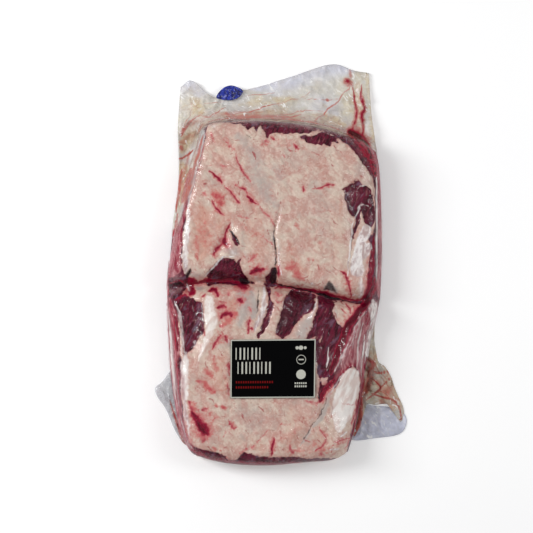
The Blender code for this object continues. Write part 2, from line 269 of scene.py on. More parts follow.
def dense_curve(points, closed=False):
    """A Catmull-Rom curve through millimetre points, 16 steps to a run, in metres."""
    pts = np.array(points, dtype=float) * MM
    if closed:
        padded = np.vstack([pts[-1], pts, pts[0], pts[1]])
    else:
        padded = np.vstack([2 * pts[0] - pts[1], pts, 2 * pts[-1] - pts[-2]])
    t = np.linspace(0.0, 1.0, 17)[:-1, None]
    runs = []
    for a, b, c, d in zip(padded, padded[1:], padded[2:], padded[3:]):
        runs.append(0.5 * (2 * b + (c - a) * t + (2 * a - 5 * b + 4 * c - d) * t ** 2
                           + (3 * b - a - 3 * c + d) * t ** 3))
    return np.vstack(runs + [padded[-2]])


def at_shares(curve, shares):
    """Points at the given shares of a curve's length."""
    steps = np.linalg.norm(np.diff(curve, axis=0), axis=1)
    length = np.concatenate([[0.0], np.cumsum(steps)])
    where = np.asarray(shares) * length[-1]
    return np.stack([np.interp(where, length, curve[:, k]) for k in range(2)], axis=-1)


def distance_to(x, y, chain, start_width=1.0, end_width=1.0, taper=0.0):
    """Distance to the nearest point of a chain, over a width that changes evenly along it.

    `taper` is the share of the width that is lost towards both ends.
    """
    nearest = np.full(np.shape(x), np.inf)
    last = len(chain) - 1
    for k in range(last):
        (ax, ay), (bx, by) = chain[k], chain[k + 1]
        along_x, along_y = bx - ax, by - ay
        part = ((x - ax) * along_x + (y - ay) * along_y) / (along_x ** 2 + along_y ** 2 + 1e-18)
        part = np.clip(part, 0.0, 1.0)
        gap = np.hypot(x - ax - part * along_x, y - ay - part * along_y)
        share = (k + part) / last
        width = start_width + (end_width - start_width) * share
        width = width * (1.0 - taper * np.abs(2.0 * share - 1.0) ** 3)
        nearest = np.minimum(nearest, gap / width)
    return nearest


def depth_inside(x, y, ring):
    """Distance to a closed ring, positive inside it and negative outside."""
    crossings = np.zeros(np.shape(x), dtype=int)
    loop = np.vstack([ring, ring[:1]])
    for (ax, ay), (bx, by) in zip(loop[:-1], loop[1:]):
        if ay != by:
            spans = (ay > y) != (by > y)
            crossings += spans & (x < ax + (y - ay) * (bx - ax) / (by - ay))
    return np.where(crossings % 2 == 1, 1.0, -1.0) * distance_to(x, y, loop)


def ramp(value, low, high):
    """0 below `low`, 1 above `high`, with a smooth S between."""
    t = np.clip((value - low) / (high - low), 0.0, 1.0)
    return t * t * (3.0 - 2.0 * t)


def pack_height(x, y):
    """Height of the film: its foot, a fall outside the meat, a rounded rise inside it.

    The furrow between the slabs, the soft forms and the creases are bells added to that.
    """
    ring = at_shares(dense_curve(MEAT_OUTLINE, closed=True), np.linspace(0.0, 1.0, 200)[:-1])
    inside = depth_inside(x, y, ring)
    east = ramp(x, *SHOULDER_CHANGE)
    shoulder = SHOULDER_WEST + (SHOULDER_EAST - SHOULDER_WEST) * east
    turn = 1.0 - np.clip(inside / shoulder, 0.0, 1.0)
    rise = (1.0 - turn ** SHOULDER_ROUNDNESS) ** (1.0 / SHOULDER_ROUNDNESS)
    tail = ramp(y, *TAIL_CHANGE)
    reach = FILM_REACH_SIDE + (FILM_REACH_TAIL - FILM_REACH_SIDE) * tail
    foot = FILM_HEIGHT_SIDE + (FILM_HEIGHT_TAIL - FILM_HEIGHT_SIDE) * tail
    fall = (1.0 - np.clip(-inside / reach, 0.0, 1.0)) ** 2
    height = foot + (EDGE_HEIGHT - foot) * fall + (SLAB_THICKNESS - EDGE_HEIGHT) * rise
    furrow = np.exp(-distance_to(x, y, dense_curve(SEAM), SEAM_HALF_WIDTH, SEAM_HALF_WIDTH) ** 2)
    height -= furrow * (SEAM_DEPTH_AT_SIDE + (SEAM_DEPTH - SEAM_DEPTH_AT_SIDE) * rise)
    for centre, half_lengths, turned, amount in FORMS:
        c, s = math.cos(math.radians(turned)), math.sin(math.radians(turned))
        dx, dy = x - centre[0] * MM, y - centre[1] * MM
        u = (c * dx + s * dy) / (half_lengths[0] * MM)
        v = (c * dy - s * dx) / (half_lengths[1] * MM)
        height += amount * np.exp(-(u * u + v * v) ** 1.5) * rise
    for route, half_width, amount in CREASES:
        height += amount * np.exp(-distance_to(x, y, dense_curve(route), half_width,
                                               half_width) ** 2)
    return height, inside


def random_field(x, y, size, seed):
    """Smooth random values from -1 to 1, `size` metres apart: hashed corners, S-curve blends."""
    u, v = x / size, y / size
    i, j = np.floor(u), np.floor(v)
    su, sv = (u - i) ** 2 * (3 - 2 * (u - i)), (v - j) ** 2 * (3 - 2 * (v - j))

    def corner(a, b):
        mixed = np.sin(a * 127.1 + b * 311.7 + seed * 74.7) * 43758.5453
        return 2.0 * (mixed - np.floor(mixed)) - 1.0

    low = corner(i, j) * (1 - su) + corner(i + 1, j) * su
    high = corner(i, j + 1) * (1 - su) + corner(i + 1, j + 1) * su
    return low * (1 - sv) + high * sv


def rough_field(x, y, size, seed, layers=3):
    """Random values from about -1 to 1 with finer layers added, each half as large."""
    total, weight = 0.0, 0.0
    for k in range(layers):
        share = 0.5 ** k
        total = total + share * random_field(x, y, size * share, seed + 7 * k)
        weight += share
    return total / weight * 1.3


def crumple(x, y, size, seed):
    """Sharp folds of pressed film, 0 in the flats and 1 on the crests: ridges of bent noise."""
    bend = size * 0.35
    u = x + bend * random_field(x, y, size * 0.8, seed + 1)
    v = y + bend * random_field(x, y, size * 0.8, seed + 2)
    return (1.0 - np.abs(random_field(u, v, size, seed)) * 1.6).clip(0.0, 1.0) ** 2


def crowded(count, crowding):
    """Steps from 0 to 1, closer together towards both ends as `crowding` nears 1."""
    t = np.linspace(0.0, 1.0, count + 1)
    return t - crowding * np.sin(2.0 * np.pi * t) / (2.0 * np.pi)


def patch(south, north, west, east, across_shares, along_shares):
    """Plan points of a patch stretched between four edge curves that meet at corners."""
    u, v = across_shares, along_shares
    s, n = at_shares(south, u), at_shares(north, u)
    w, e = at_shares(west, v), at_shares(east, v)
    uu, vv = u[None, :, None], v[:, None, None]
    across = (1 - vv) * s[None] + vv * n[None]
    along = (1 - uu) * w[:, None] + uu * e[:, None]
    corners = ((1 - uu) * (1 - vv) * s[0] + uu * (1 - vv) * s[-1]
               + (1 - uu) * vv * n[0] + uu * vv * n[-1])
    return across + along - corners


def edge_loop(rows, columns):
    """Numbers of a grid's edge points, anticlockwise from its south-west corner."""
    number = np.arange(rows * columns).reshape(rows, columns)
    return np.concatenate([number[0, :-1], number[:-1, -1], number[-1, :0:-1],
                           number[:0:-1, 0]])


def grid_faces(rows, columns):
    """Faces of a grid of points, facing up."""
    number = np.arange(rows * columns).reshape(rows, columns)
    return np.stack([number[:-1, :-1], number[:-1, 1:], number[1:, 1:], number[1:, :-1]],
                    axis=-1).reshape(-1, 4)


def wall_faces(above, below):
    """Faces that join two loops of point numbers."""
    return np.stack([below, np.roll(below, -1), np.roll(above, -1), above], axis=-1)


def ringed_body(top, rings):
    """Points and faces of a body: an upper grid, then rings down its side and in underneath."""
    rows, columns = top.shape[:2]
    loop = edge_loop(rows, columns)
    levels = [loop] + [rows * columns + k * len(loop) + np.arange(len(loop))
                       for k in range(len(rings))]
    faces = grid_faces(rows, columns).tolist()
    for above, below in zip(levels, levels[1:]):
        faces += wall_faces(above, below).tolist()
    faces.append(levels[-1][::-1].tolist())
    return np.vstack([top.reshape(-1, 3)] + rings), faces


def add_piece(name, points, faces, material, attributes=None, sharp=None):
    """A mesh object that rides on the pack, with one value a point for each attribute."""
    mesh = bpy.data.meshes.new(name)
    mesh.from_pydata(np.asarray(points).tolist(), [], [list(face) for face in faces])
    mesh.materials.append(material)
    for key, values in (attributes or {}).items():
        layer = mesh.attributes.new(key, "FLOAT", "POINT")
        layer.data.foreach_set("value", np.asarray(values, dtype=np.float32).ravel())
    mesh.shade_smooth()
    if sharp is not None:
        mesh.set_sharp_from_angle(angle=math.radians(sharp))
    piece = bpy.data.objects.new(name, mesh)
    bpy.context.scene.collection.objects.link(piece)
    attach(piece, "root")
    return piece


# ------------------------------------------------------------------ the slabs of ribs
# Each slab is a cap of pale, faintly pink fat over dark lean, cut so that the lean shows in
# windows and along the sides. Blood lies in the cuts, in the creases and between the slabs.

# Outlines and routes are in millimetres. Each cap of fat, from its north-west corner.
FAT_CAPS = [
    [(-80, 153), (-84, 141), (-89, 122), (-94, 100), (-99, 80), (-104, 60), (-107, 40), (-109, 20),
     (-109, -4), (-105, -14), (-96, -20), (-84, -20), (-62, -19), (-35, -21), (-7, -24), (20, -28),
     (42, -35), (70, -41), (90, -40), (95, -20), (97, 1), (101, 25), (104, 47), (104, 74),
     (100, 96), (92, 110), (83, 122), (74, 131), (64, 137), (48, 145), (31, 153), (4, 156),
     (-35, 157), (-62, 157)],
    [(-111, -33), (-94, -24), (-73, -21), (-51, -22), (-26, -24), (-7, -25), (20, -30), (42, -36),
     (64, -42), (89, -46), (100, -46), (95, -61), (92, -85), (90, -113), (87, -141), (82, -168),
     (77, -192), (75, -205), (68, -214), (58, -216), (45, -216), (26, -215), (12, -212), (0, -213),
     (-20, -214), (-30, -211), (-37, -208), (-44, -208), (-50, -216), (-58, -216), (-66, -210),
     (-74, -208), (-84, -206), (-92, -203), (-101, -198), (-107, -180), (-110, -150), (-111, -120),
     (-111, -95), (-114, -65)],
]
# Windows of lean cut through the fat.
LEAN_WINDOWS = [
    [(-61, 159), (-46, 156), (-29, 158), (4, 158), (31, 155), (40, 150), (34, 145), (28, 142),
     (9, 143), (-7, 143), (-13, 141), (-16, 136), (-18, 143), (-21, 147), (-24, 151), (-27, 145),
     (-31, 150), (-35, 146), (-38, 149), (-43, 153), (-51, 154)],
    [(20, 139), (34, 140), (42, 145), (50, 144), (55, 140), (60, 142), (66, 139), (60, 136),
     (63, 131), (57, 133), (53, 129), (47, 131), (44, 129), (34, 132), (26, 134)],
    [(60, 144), (71, 140), (80, 135), (89, 130), (98, 121), (105, 111), (109, 100), (104, 95),
     (98, 100), (91, 110), (82, 121), (73, 130), (65, 135)],
    [(68, 79), (71, 83), (76, 86), (81, 90), (84, 92), (88, 88), (93, 84), (99, 81), (101, 74),
     (103, 63), (104, 52), (102, 43), (97, 40), (93, 45), (91, 52), (88, 56), (88, 45), (84, 37),
     (80, 26), (78, 30), (81, 41), (81, 49), (77, 51), (73, 58), (70, 68)],
    [(99, 30), (104, 29), (104, 16), (100, 10), (98, 20)],
    [(108, 9), (108, -8), (105, -25), (101, -37), (93, -42), (88, -43), (94, -32), (95, -19),
     (98, -8), (102, 3)],
    [(-84, -18), (-82, -10), (-77, -5), (-72, 0), (-67, 4), (-61, 5), (-56, 4), (-51, 3),
     (-49, -2), (-45, 6), (-44, -4), (-41, -12), (-37, -20), (-44, -25), (-57, -24), (-72, -24),
     (-83, -25)],
    [(-57, 37), (-53, 32), (-49, 28), (-47, 20), (-50, 20), (-54, 26), (-56, 32)],
    [(-121, -22), (-111, -22), (-105, -26), (-108, -32), (-116, -40), (-121, -41)],
    [(-119, -42), (-113, -37), (-103, -36), (-97, -40), (-93, -44), (-88, -45), (-86, -55),
     (-85, -66), (-85, -75), (-90, -81), (-94, -90), (-102, -98), (-107, -101), (-108, -85),
     (-111, -70), (-114, -56)],
    [(-17, -25), (-12, -26), (-11, -39), (-9, -48), (-12, -60), (-17, -70), (-24, -82), (-27, -82),
     (-24, -72), (-18, -60), (-16, -50), (-14, -38)],
    [(12, -29), (20, -30), (30, -34), (38, -36), (37, -42), (36, -48), (32, -53), (24, -58),
     (18, -66), (12, -72), (8, -80), (1, -83), (-5, -80), (-8, -77), (-4, -68), (-1, -60),
     (0, -50), (2, -42), (6, -36)],
    [(40, -36), (50, -38), (60, -42), (58, -48), (55, -54), (57, -62), (52, -68), (44, -68),
     (38, -60), (38, -52), (40, -45)],
    [(36, -58), (42, -60), (42, -70), (40, -78), (34, -84), (27, -84), (31, -76), (34, -68)],
    [(42, -66), (50, -60), (58, -58), (60, -66), (66, -72), (74, -67), (82, -60), (88, -53),
     (96, -45), (90, -60), (82, -70), (76, -80), (70, -92), (66, -102), (62, -112), (62, -122),
     (54, -133), (46, -144), (42, -154), (41, -138), (40, -120), (36, -108), (35, -92), (38, -81),
     (41, -76)],
    [(100, -45), (96, -61), (94, -80), (92, -100), (90, -130), (86, -125), (79, -114), (72, -120),
     (64, -130), (57, -138), (58, -122), (62, -106), (68, -90), (76, -74), (86, -56)],
    [(-9, -6), (-8, -13), (-4, -23), (-13, -26), (-18, -20), (-17, -15), (-12, -12)],
]
# Fat and gristle left lying over the lean.
FAT_ISLANDS = [
    [(-91, -38), (-83, -30), (-76, -25), (-71, -24), (-75, -29), (-82, -35), (-88, -40)],
    [(-35, -16), (-29, -14), (-24, -18), (-19, -22), (-22, -27), (-28, -25), (-34, -20)],
    [(41, -128), (46, -127), (51, -128), (50, -133), (45, -135)],
    [(41, -84), (44, -82), (43, -87), (41, -89)],
]
# Fat so thin that the lean shows between its streaks.
THIN_FAT = [(56, -42), (66, -43), (78, -46), (86, -46), (82, -53), (78, -62), (72, -68), (68, -59),
            (63, -67), (61, -56), (55, -52), (59, -47)]
# What is painted on the meat. Four values are a streak: route, half width at its start and at
# its end, strength. Two are an area: outline, strength.
BLOOD = [
    # pools
    ([(-98, -164), (-93, -172), (-87, -180), (-82, -187)], 3, 6.4, 1.1),
    ([(-92, -176), (-84, -186)], 2, 3.6, 1.4),
    ([(92, 140), (100, 134), (107, 122), (110, 108), (108, 98)], 3.4, 2.6, 0.7),
    ([(-103, -15), (-92, -19), (-97, -26), (-95, -34), (-101, -38), (-104, -30)], 0.85),
    # between the slabs, west to east
    ([(-125, 2), (-128, -20), (-128, -34)], 1.7, 2.2, 0.9),
    ([(-98, -24), (-86, -20), (-73, -19), (-54, -20), (-36, -25)], 1.6, 2.2, 1),
    ([(-118, -42), (-109, -36), (-103, -38)], 1.6, 1.3, 0.9),
    ([(-15, -21), (-3, -24), (12, -28), (30, -30), (45, -33), (66, -38), (92, -42)], 1.3, 2, 1),
    ([(-8, -28), (0, -26), (12, -29), (14, -36)], 1, 0.8, 0.8),
    # upper slab: its west edge, its cuts, its east edge
    ([(-84, 144), (-87, 133), (-91, 114), (-96, 96), (-101, 78), (-106, 56)], 1.2, 1.2, 0.75),
    ([(-56, 43), (-59, 37), (-62, 30), (-61, 24)], 1.2, 2.2, 0.85),
    ([(-61, 26), (-63, 22), (-60, 20)], 3.4, 3.4, 1.05),
    ([(-66, 19), (-71, 15), (-74, 11), (-74, 7)], 2.2, 1.8, 0.85),
    ([(-78, 144), (-76, 138), (-73, 130)], 1.1, 0.6, 0.5),
    ([(-65, 137), (-60, 133), (-57, 127), (-52, 124)], 0.8, 1.3, 0.45),
    ([(-50, 119), (-49, 113), (-46, 106), (-41, 97), (-34, 90)], 0.9, 1.4, 0.7),
    ([(-80, 101), (-75, 98), (-70, 93), (-66, 88)], 0.9, 1.9, 1),
    ([(-52, 88), (-48, 83), (-42, 80), (-37, 74)], 0.9, 1.2, 0.75),
    ([(-38, 74), (-33, 69), (-28, 65)], 1.9, 1.4, 1.15),
    ([(-63, 84), (-57, 79), (-51, 71), (-46, 65)], 0.7, 1.5, 0.9),
    ([(-77, 68), (-72, 60), (-65, 53)], 0.8, 1.5, 0.85),
    ([(-28, 64), (-20, 57), (-12, 49), (-8, 39)], 0.8, 1, 0.6),
    ([(-51, 56), (-44, 50), (-36, 48)], 0.8, 1.2, 0.45),
    ([(-22, 30), (-14, 24), (-9, 19)], 1.2, 1, 0.5),
    ([(-37, 1), (-32, 4), (-28, 8)], 1.8, 1.4, 0.5), ([(-86, 79), (-84, 73)], 1.8, 1.4, 0.5),
    ([(-68, 107), (-60, 106)], 1.1, 0.9, 0.5), ([(-83, 106), (-77, 107)], 0.8, 0.7, 0.4),
    ([(-34, -12), (-27, -8), (-20, -8)], 3.4, 2.6, 1.1),
    ([(34, 81), (42, 82), (49, 85), (58, 86)], 0.7, 1.1, 0.75),
    ([(24, 84), (25, 77)], 1.4, 1, 0.75), ([(12, 131), (15, 127), (20, 124)], 1.8, 1, 0.7),
    ([(14, 126), (15, 121)], 1, 0.8, 0.5), ([(2, 121), (4, 114)], 1, 0.8, 0.4),
    ([(-19, 133), (-15, 135)], 2.2, 2.2, 0.6), ([(-11, 138), (-6, 135)], 1.8, 1.6, 0.6),
    ([(63, -9), (70, -13), (73, -24), (77, -37)], 0.9, 1.6, 0.85),
    ([(-3, -3), (-3, -17)], 1.1, 1.3, 0.9), ([(104, 96), (110, 84), (112, 60)], 2, 1, 0.8),
    ([(102, 29), (101, 12), (101, -2), (98, -18), (95, -30), (89, -41)], 2, 3.2, 1),
    # lower slab, round its north-west bulge
    ([(-80, -32), (-75, -29), (-71, -33), (-70, -38)], 2, 2.2, 1),
    ([(-88, -38), (-83, -35)], 1.4, 1.2, 0.8),
    ([(-70, -51), (-65, -48), (-60, -49)], 2.2, 1.5, 0.95),
    ([(-67, -61), (-63, -57), (-57, -56), (-54, -60)], 2.6, 2.2, 1),
    ([(-68, -67), (-66, -71)], 1.7, 1.4, 0.6), ([(-59, -31), (-58, -37)], 1.2, 1.3, 0.5),
    ([(-49, -24), (-43, -26), (-39, -28)], 3, 3.2, 0.9), ([(-46, -41), (-44, -45)], 2.6, 2.4, 1),
    ([(-34, -62), (-36, -70), (-38, -80)], 1.5, 1.2, 0.8),
    ([(-36, -50), (-34, -55)], 1.4, 1.2, 0.5), ([(-33, -73), (-32, -75)], 1.8, 1.4, 0.7),
    ([(-85, -75), (-85, -81)], 1.5, 1.2, 0.7),
    ([(-66, -80), (-71, -87), (-75, -95)], 2.2, 1.6, 0.75),
    ([(-61, -80), (-60, -88)], 1.8, 1.6, 0.75), ([(-58, -110), (-57, -124)], 1.8, 1.4, 0.6),
    ([(-59, -133), (-58, -146)], 1.4, 1.4, 0.5), ([(-5, -34), (-4, -37)], 1.6, 1.6, 0.7),
    ([(-8, -42), (-2, -44)], 0.9, 0.7, 0.6), ([(70, -44), (74, -50), (75, -58)], 1, 0.9, 0.8),
    ([(66, -50), (70, -58)], 0.6, 0.6, 0.6), ([(80, -47), (79, -54)], 0.7, 0.7, 0.6),
    ([(98, -40), (92, -47), (80, -60), (73, -72), (66, -90), (59, -106), (54, -122)],
     3.4, 3.2, 1.8),
    ([(66, -116), (59, -127), (52, -136), (46, -144), (42, -153)], 2.2, 2.6, 1.1),
    # lower slab, its west and south
    ([(-102, -152), (-98, -160), (-96, -168)], 1.8, 2.6, 0.6),
    ([(-82, -190), (-86, -197)], 3.4, 1.8, 0.5), ([(-88, -163), (-82, -160)], 1.3, 1.5, 0.6),
    ([(-58, -173), (-54, -180), (-48, -180)], 1.9, 1.3, 0.6),
    ([(-62, -185), (-64, -192)], 1.2, 0.9, 0.4),
    ([(-9, -193), (-10, -200), (-11, -211)], 1.9, 1.2, 0.95),
    ([(-12, -181), (-20, -190), (-30, -200), (-38, -204), (-46, -210)], 0.8, 1, 0.45),
    ([(40, -180), (45, -187), (49, -192), (47, -199), (37, -206)], 0.8, 1.3, 0.6),
    ([(8, -200), (12, -210)], 1.8, 2, 0.6), ([(15, -176), (14, -190)], 0.8, 0.6, 0.35),
    ([(0, -178), (9, -177)], 0.7, 0.7, 0.4), ([(26, -152), (40, -155)], 1.6, 2.8, 0.5),
    ([(58, -197), (66, -195), (76, -193)], 1.7, 1.5, 0.6),
    ([(70, -198), (52, -202)], 0.9, 0.9, 0.45), ([(43, -209), (46, -212)], 2.4, 2.2, 0.5),
    ([(66, -154), (72, -156), (81, -157)], 0.7, 0.7, 0.4),
    ([(83, -150), (82, -165), (77, -178)], 1.3, 1.3, 0.6),
    ([(-112, -165), (-106, -190), (-98, -206), (-80, -215)], 1.6, 3, 1),
    ([(-80, -217), (-50, -222), (-10, -222), (30, -221)], 2.6, 2.8, 1.2),
    ([(83, -150), (84, -168), (78, -192), (70, -206)], 1, 1.6, 0.5),
]
BLUSH = [
    ([(-74, -102), (-73, -113), (-71, -121)], 2.6, 3.2, 0.75),
    ([(-84, -118), (-79, -122), (-76, -128)], 4, 4.2, 0.85),
    ([(-94, -130), (-86, -131), (-80, -138), (-73, -143)], 2.6, 4.2, 0.95),
    ([(-64, -124), (-61, -127)], 2.6, 2.4, 0.6), ([(-75, -95), (-78, -106)], 3, 3.6, 0.5),
    ([(-94, -141), (-90, -144)], 3.2, 3.2, 0.35), ([(-100, -154), (-95, -164)], 4.4, 5.4, 0.8),
    ([(-80, -194), (-92, -188)], 5, 4.4, 0.6), ([(-73, -156), (-72, -159)], 2, 1.8, 0.75),
    ([(-66, -159), (-61, -161)], 2.8, 2.8, 0.9), ([(-79, -165), (-78, -168)], 2.8, 2.8, 0.8),
    ([(-74, -169), (-71, -172)], 3, 3, 0.75), ([(-61, -166), (-61, -169)], 1.8, 1.8, 0.6),
    ([(-57, -174), (-50, -181)], 3.4, 3.2, 0.6), ([(-75, -203), (-73, -206)], 3.2, 3, 0.7),
    ([(-69, -205), (-68, -207)], 1.4, 1.4, 0.6), ([(-76, 74), (-68, 70), (-66, 62)], 6, 5.4, 1),
    ([(-86, 78), (-84, 72)], 3, 2.6, 0.6), ([(-86, 44), (-84, 20)], 9, 8, 0.5),
    ([(-94, 30), (-93, 4)], 3, 4.4, 0.65), ([(-60, 46), (-40, 36), (-20, 26)], 6, 6, 0.45),
    ([(-36, 0), (-28, 8)], 4, 3.4, 0.65), ([(6, -6), (14, -4), (17, -14), (24, -20)], 5, 4.4, 0.85),
    ([(8, 24), (11, 8)], 3, 2.4, 0.5), ([(28, 5), (36, 3)], 3.4, 2.6, 0.6),
    ([(42, 24), (44, 18)], 2.8, 2.4, 0.55), ([(15, 44), (20, 36)], 2.4, 1.8, 0.65),
    ([(40, -8), (48, -16)], 3, 3, 0.4), ([(0, 128), (22, 126), (40, 118)], 4, 3, 0.45),
    ([(-62, 138), (-52, 124)], 4, 5, 0.5), ([(-22, 130), (-8, 134)], 4, 4, 0.4),
    ([(-36, 110), (-30, 94)], 3, 3, 0.35), ([(0, -172), (-6, -200)], 6, 6, 0.35),
    ([(30, -196), (56, -206)], 6, 6, 0.5), ([(14, -206), (44, -212)], 5, 5, 0.45),
    ([(-66, -70), (-57, -64), (-50, -55)], 3.6, 3.6, 0.8), ([(-52, -26), (-44, -24)], 4, 3, 0.9),
    ([(-70, -74), (-66, -88), (-59, -81)], 3.3, 3.3, 0.6),
    ([(-106, -25), (-105, -33)], 3, 2.4, 0.9), ([(-8, -30), (-7, -41)], 2.2, 2.2, 0.5),
    ([(74, -47), (82, -50)], 3, 2.6, 0.5), ([(60, -64), (70, -58)], 2.4, 3, 0.5),
    ([(71, -19), (73, -33)], 4, 3.3, 0.6), ([(-64, -30), (-60, -45)], 3, 3, 0.35),
]
# Warm salmon fat.
ROSE = [
    ([(-40, 70), (-30, 56), (-22, 44)], 6, 6, 0.45), ([(-6, 144), (0, 130)], 6, 5, 0.35),
    ([(60, 120), (78, 112), (88, 96)], 8, 8, 0.3), ([(56, 70), (62, 40), (60, 10)], 7, 8, 0.35),
    ([(20, 66), (24, 30)], 6, 6, 0.3), ([(-88, 60), (-86, 30), (-88, 4)], 13, 11, 0.75),
    ([(-72, 80), (-66, 50), (-70, 30)], 10, 9, 0.55),
    ([(-36, 44), (-26, 20), (-24, 2)], 13, 12, 0.5),
    ([(-70, 136), (-62, 124), (-70, 112)], 10, 9, 0.45),
    ([(10, 20), (12, 0), (30, -12)], 8, 9, 0.55), ([(20, 116), (40, 110), (44, 100)], 9, 8, 0.3),
    ([(66, 66), (64, 54)], 3, 3, 0.6), ([(-62, -66), (-55, -56), (-52, -40)], 8, 9, 0.75),
    ([(-62, -100), (-70, -120), (-62, -140)], 10, 12, 0.6),
    ([(10, -158), (14, -184), (4, -204)], 14, 14, 0.45), ([(-26, -196), (-18, -208)], 9, 8, 0.45),
    ([(40, -190), (46, -206)], 10, 10, 0.55),
]
GREY = [
    ([(-48, 140), (-34, 124), (-26, 100), (-18, 78), (-6, 62)], 9, 11, 0.62),
    ([(-8, 106), (-2, 92)], 8, 9, 0.5), ([(-56, 13), (-50, 12)], 7, 6, 0.75),
    ([(-42, 42), (-43, 20), (-38, 4)], 2.4, 2.4, 0.45),
    ([(36, 90), (40, 56), (46, 30)], 15, 16, 0.38), ([(90, 112), (84, 98)], 9, 8, 0.5),
    ([(-99, -12), (-92, -16)], 4, 4, 0.6), ([(-47, -30), (-40, -44), (-46, -68)], 6, 9, 0.8),
    ([(-34, -32), (-30, -48), (-32, -62)], 4.6, 5, 0.9), ([(-93, -27), (-88, -28)], 3.3, 3.3, 0.8),
    ([(52, -21), (47, -31), (62, -34), (58, -26)], 1),
    ([(30, -62), (26, -72), (20, -82)], 5, 7, 0.9), ([(52, -50), (58, -52), (62, -64)], 3, 3, 0.6),
    ([(52, -144), (48, -160), (40, -173), (33, -181)], 2.4, 2.4, 0.9),
    ([(31, -183), (25, -195), (20, -201)], 1.6, 1.2, 0.8),
    ([(-46, -160), (-28, -172), (-36, -184)], 13, 12, 0.45),
    ([(62, -150), (64, -158)], 2.4, 2, 0.5), ([(-44, -188), (-40, -196)], 4, 3, 0.5),
]
# Gristle and silvery skin, and painted glare: white highlights along the fat's slopes and the
# central crease.
GRISTLE_AND_GLARE = [
    # white gristle on the east side
    ([(92, 42), (98, 38), (97, 28), (92, 21), (100, 20), (97, 10), (91, 0), (92, -10), (88, -16),
     (78, -16), (75, -5), (79, 10), (83, 26), (88, 36)], 1),
    ([(86, -18), (88, -30), (86, -38)], 3.6, 3, 0.75),
    ([(83, 80), (88, 84), (95, 84)], 0.9, 0.8, 0.7),
    ([(-10, 152), (6, 150), (22, 149)], 1, 1, 0.34),
    ([(84, 128), (92, 120), (99, 110)], 1.6, 1.4, 0.34),
    ([(34, 147), (52, 143), (62, 138)], 1, 0.8, 0.5), ([(46, -124), (50, -140)], 2.2, 2.2, 0.34),
    ([(60, -92), (52, -108)], 1, 0.8, 0.4), ([(84, -92), (88, -110), (86, -124)], 1.6, 1.6, 0.55),
    ([(80, 48), (84, 57), (89, 64), (96, 62)], 1.4, 1, 0.8),
    ([(79, 46), (76, 25), (74, 5), (72, -14)], 0.9, 1.3, 0.9),
    ([(33, -22), (34, -24)], 1.2, 1.2, 0.9), ([(78, -36), (82, -34)], 1.6, 1.2, 0.8),
    # round the arch, and a painted highlight along the central crease
    ([(-86, -16), (-76, -6), (-70, 1), (-63, 6), (-52, 7)], 0.9, 1, 0.95),
    ([(-68, 11), (-58, 14), (-50, 9)], 3.4, 3, 0.55), ([(-55, 44), (-53, 38)], 1.6, 1.2, 0.6),
    ([(2, 66), (-1, 52), (-5, 38), (-5, 24)], 0.5, 0.7, 0.7),
    ([(-4, 28), (-3, 12), (-3, -2), (0, -14)], 0.7, 1.2, 0.9),
    ([(-30, -16), (-23, -21)], 2, 1.6, 0.7),
    # painted glare along the west edge of the fat
    ([(-98, 90), (-101, 76), (-103, 58)], 1, 2.2, 0.85),
    ([(-103, 58), (-104, 36), (-106, 14), (-106, -10)], 2.6, 3.4, 1),
    ([(-80, 152), (-70, 150)], 4, 3.4, 0.45), ([(-86, 124), (-90, 106)], 2, 2, 0.4),
    # lower slab: painted glare and highlights down its west edge, then gristle and silvery skin
    ([(-87, -45), (-88, -55), (-85, -68)], 0.8, 0.9, 0.7),
    ([(-118, -43), (-113, -55), (-110, -72), (-108, -100)], 1, 1.3, 0.9),
    ([(-106, -100), (-107, -125), (-107, -150)], 3.6, 4.4, 1),
    ([(-107, -150), (-104, -172), (-101, -190)], 3.2, 1.4, 0.85),
    ([(-20, -26), (-19, -38), (-20, -52), (-24, -62), (-30, -76)], 1.9, 3, 1),
    ([(-58, -82), (-58, -92)], 0.9, 0.9, 0.8),
    ([(-50, -68), (-44, -56), (-40, -46)], 1.6, 1.2, 0.5),
    ([(38, -37), (37, -46), (35, -56), (28, -62)], 0.9, 2.2, 0.9),
    ([(20, -33), (25, -37)], 0.7, 0.5, 0.6), ([(52, -94), (51, -104), (49, -118)], 0.7, 0.9, 0.95),
    ([(54, -102), (56, -112)], 0.8, 1.2, 0.5),
    ([(73, -90), (66, -104), (58, -119)], 1.3, 1.3, 0.85),
    ([(81, -72), (76, -84), (71, -94)], 1, 1.2, 0.6),
    ([(68, -122), (60, -134), (51, -146)], 0.9, 0.9, 0.8),
    ([(55, -157), (56, -167)], 1.3, 1.1, 0.7), ([(44, -152), (38, -165), (30, -177)], 1.2, 1, 0.45),
    ([(64, -191), (72, -186)], 1.7, 1.4, 0.9), ([(52, -205), (64, -205)], 1.2, 1, 0.8),
    ([(-98, -47), (-98, -54)], 1, 0.8, 0.5), ([(-94, -62), (-93, -66)], 0.8, 0.8, 0.5),
]
# Painted glare: fat drawn whiter where the lamps glance off the film on its slopes.
PAINTED_GLARE = [
    ([(72, -118), (84, -118), (87, -130), (86, -146), (81, -160), (76, -172), (70, -180),
     (62, -187), (57, -179), (56, -164), (56, -150), (63, -133)], 1),
    ([(-84, -38), (-76, -38), (-73, -52), (-69, -66), (-74, -78), (-82, -92), (-90, -108),
     (-94, -120), (-91, -98), (-87, -84), (-84, -72), (-86, -54)], 0.66),
    ([(-80, -42), (-79, -60), (-79, -74)], 1.4, 2.4, 0.9),
    ([(-104, 56), (-105, 30), (-106, 6)], 2.4, 3.4, 0.6),
    ([(-106, -104), (-106, -128), (-105, -150)], 3, 3.6, 0.8),
    ([(92, -52), (86, -66), (82, -84)], 1.4, 1.8, 0.6), ([(54, -158), (54, -170)], 1.4, 1.2, 0.6),
    ([(-84, -120), (-90, -140), (-92, -156)], 4, 4, 0.35), ([(30, -28), (20, -40)], 0.8, 0.8, 0.3),
]
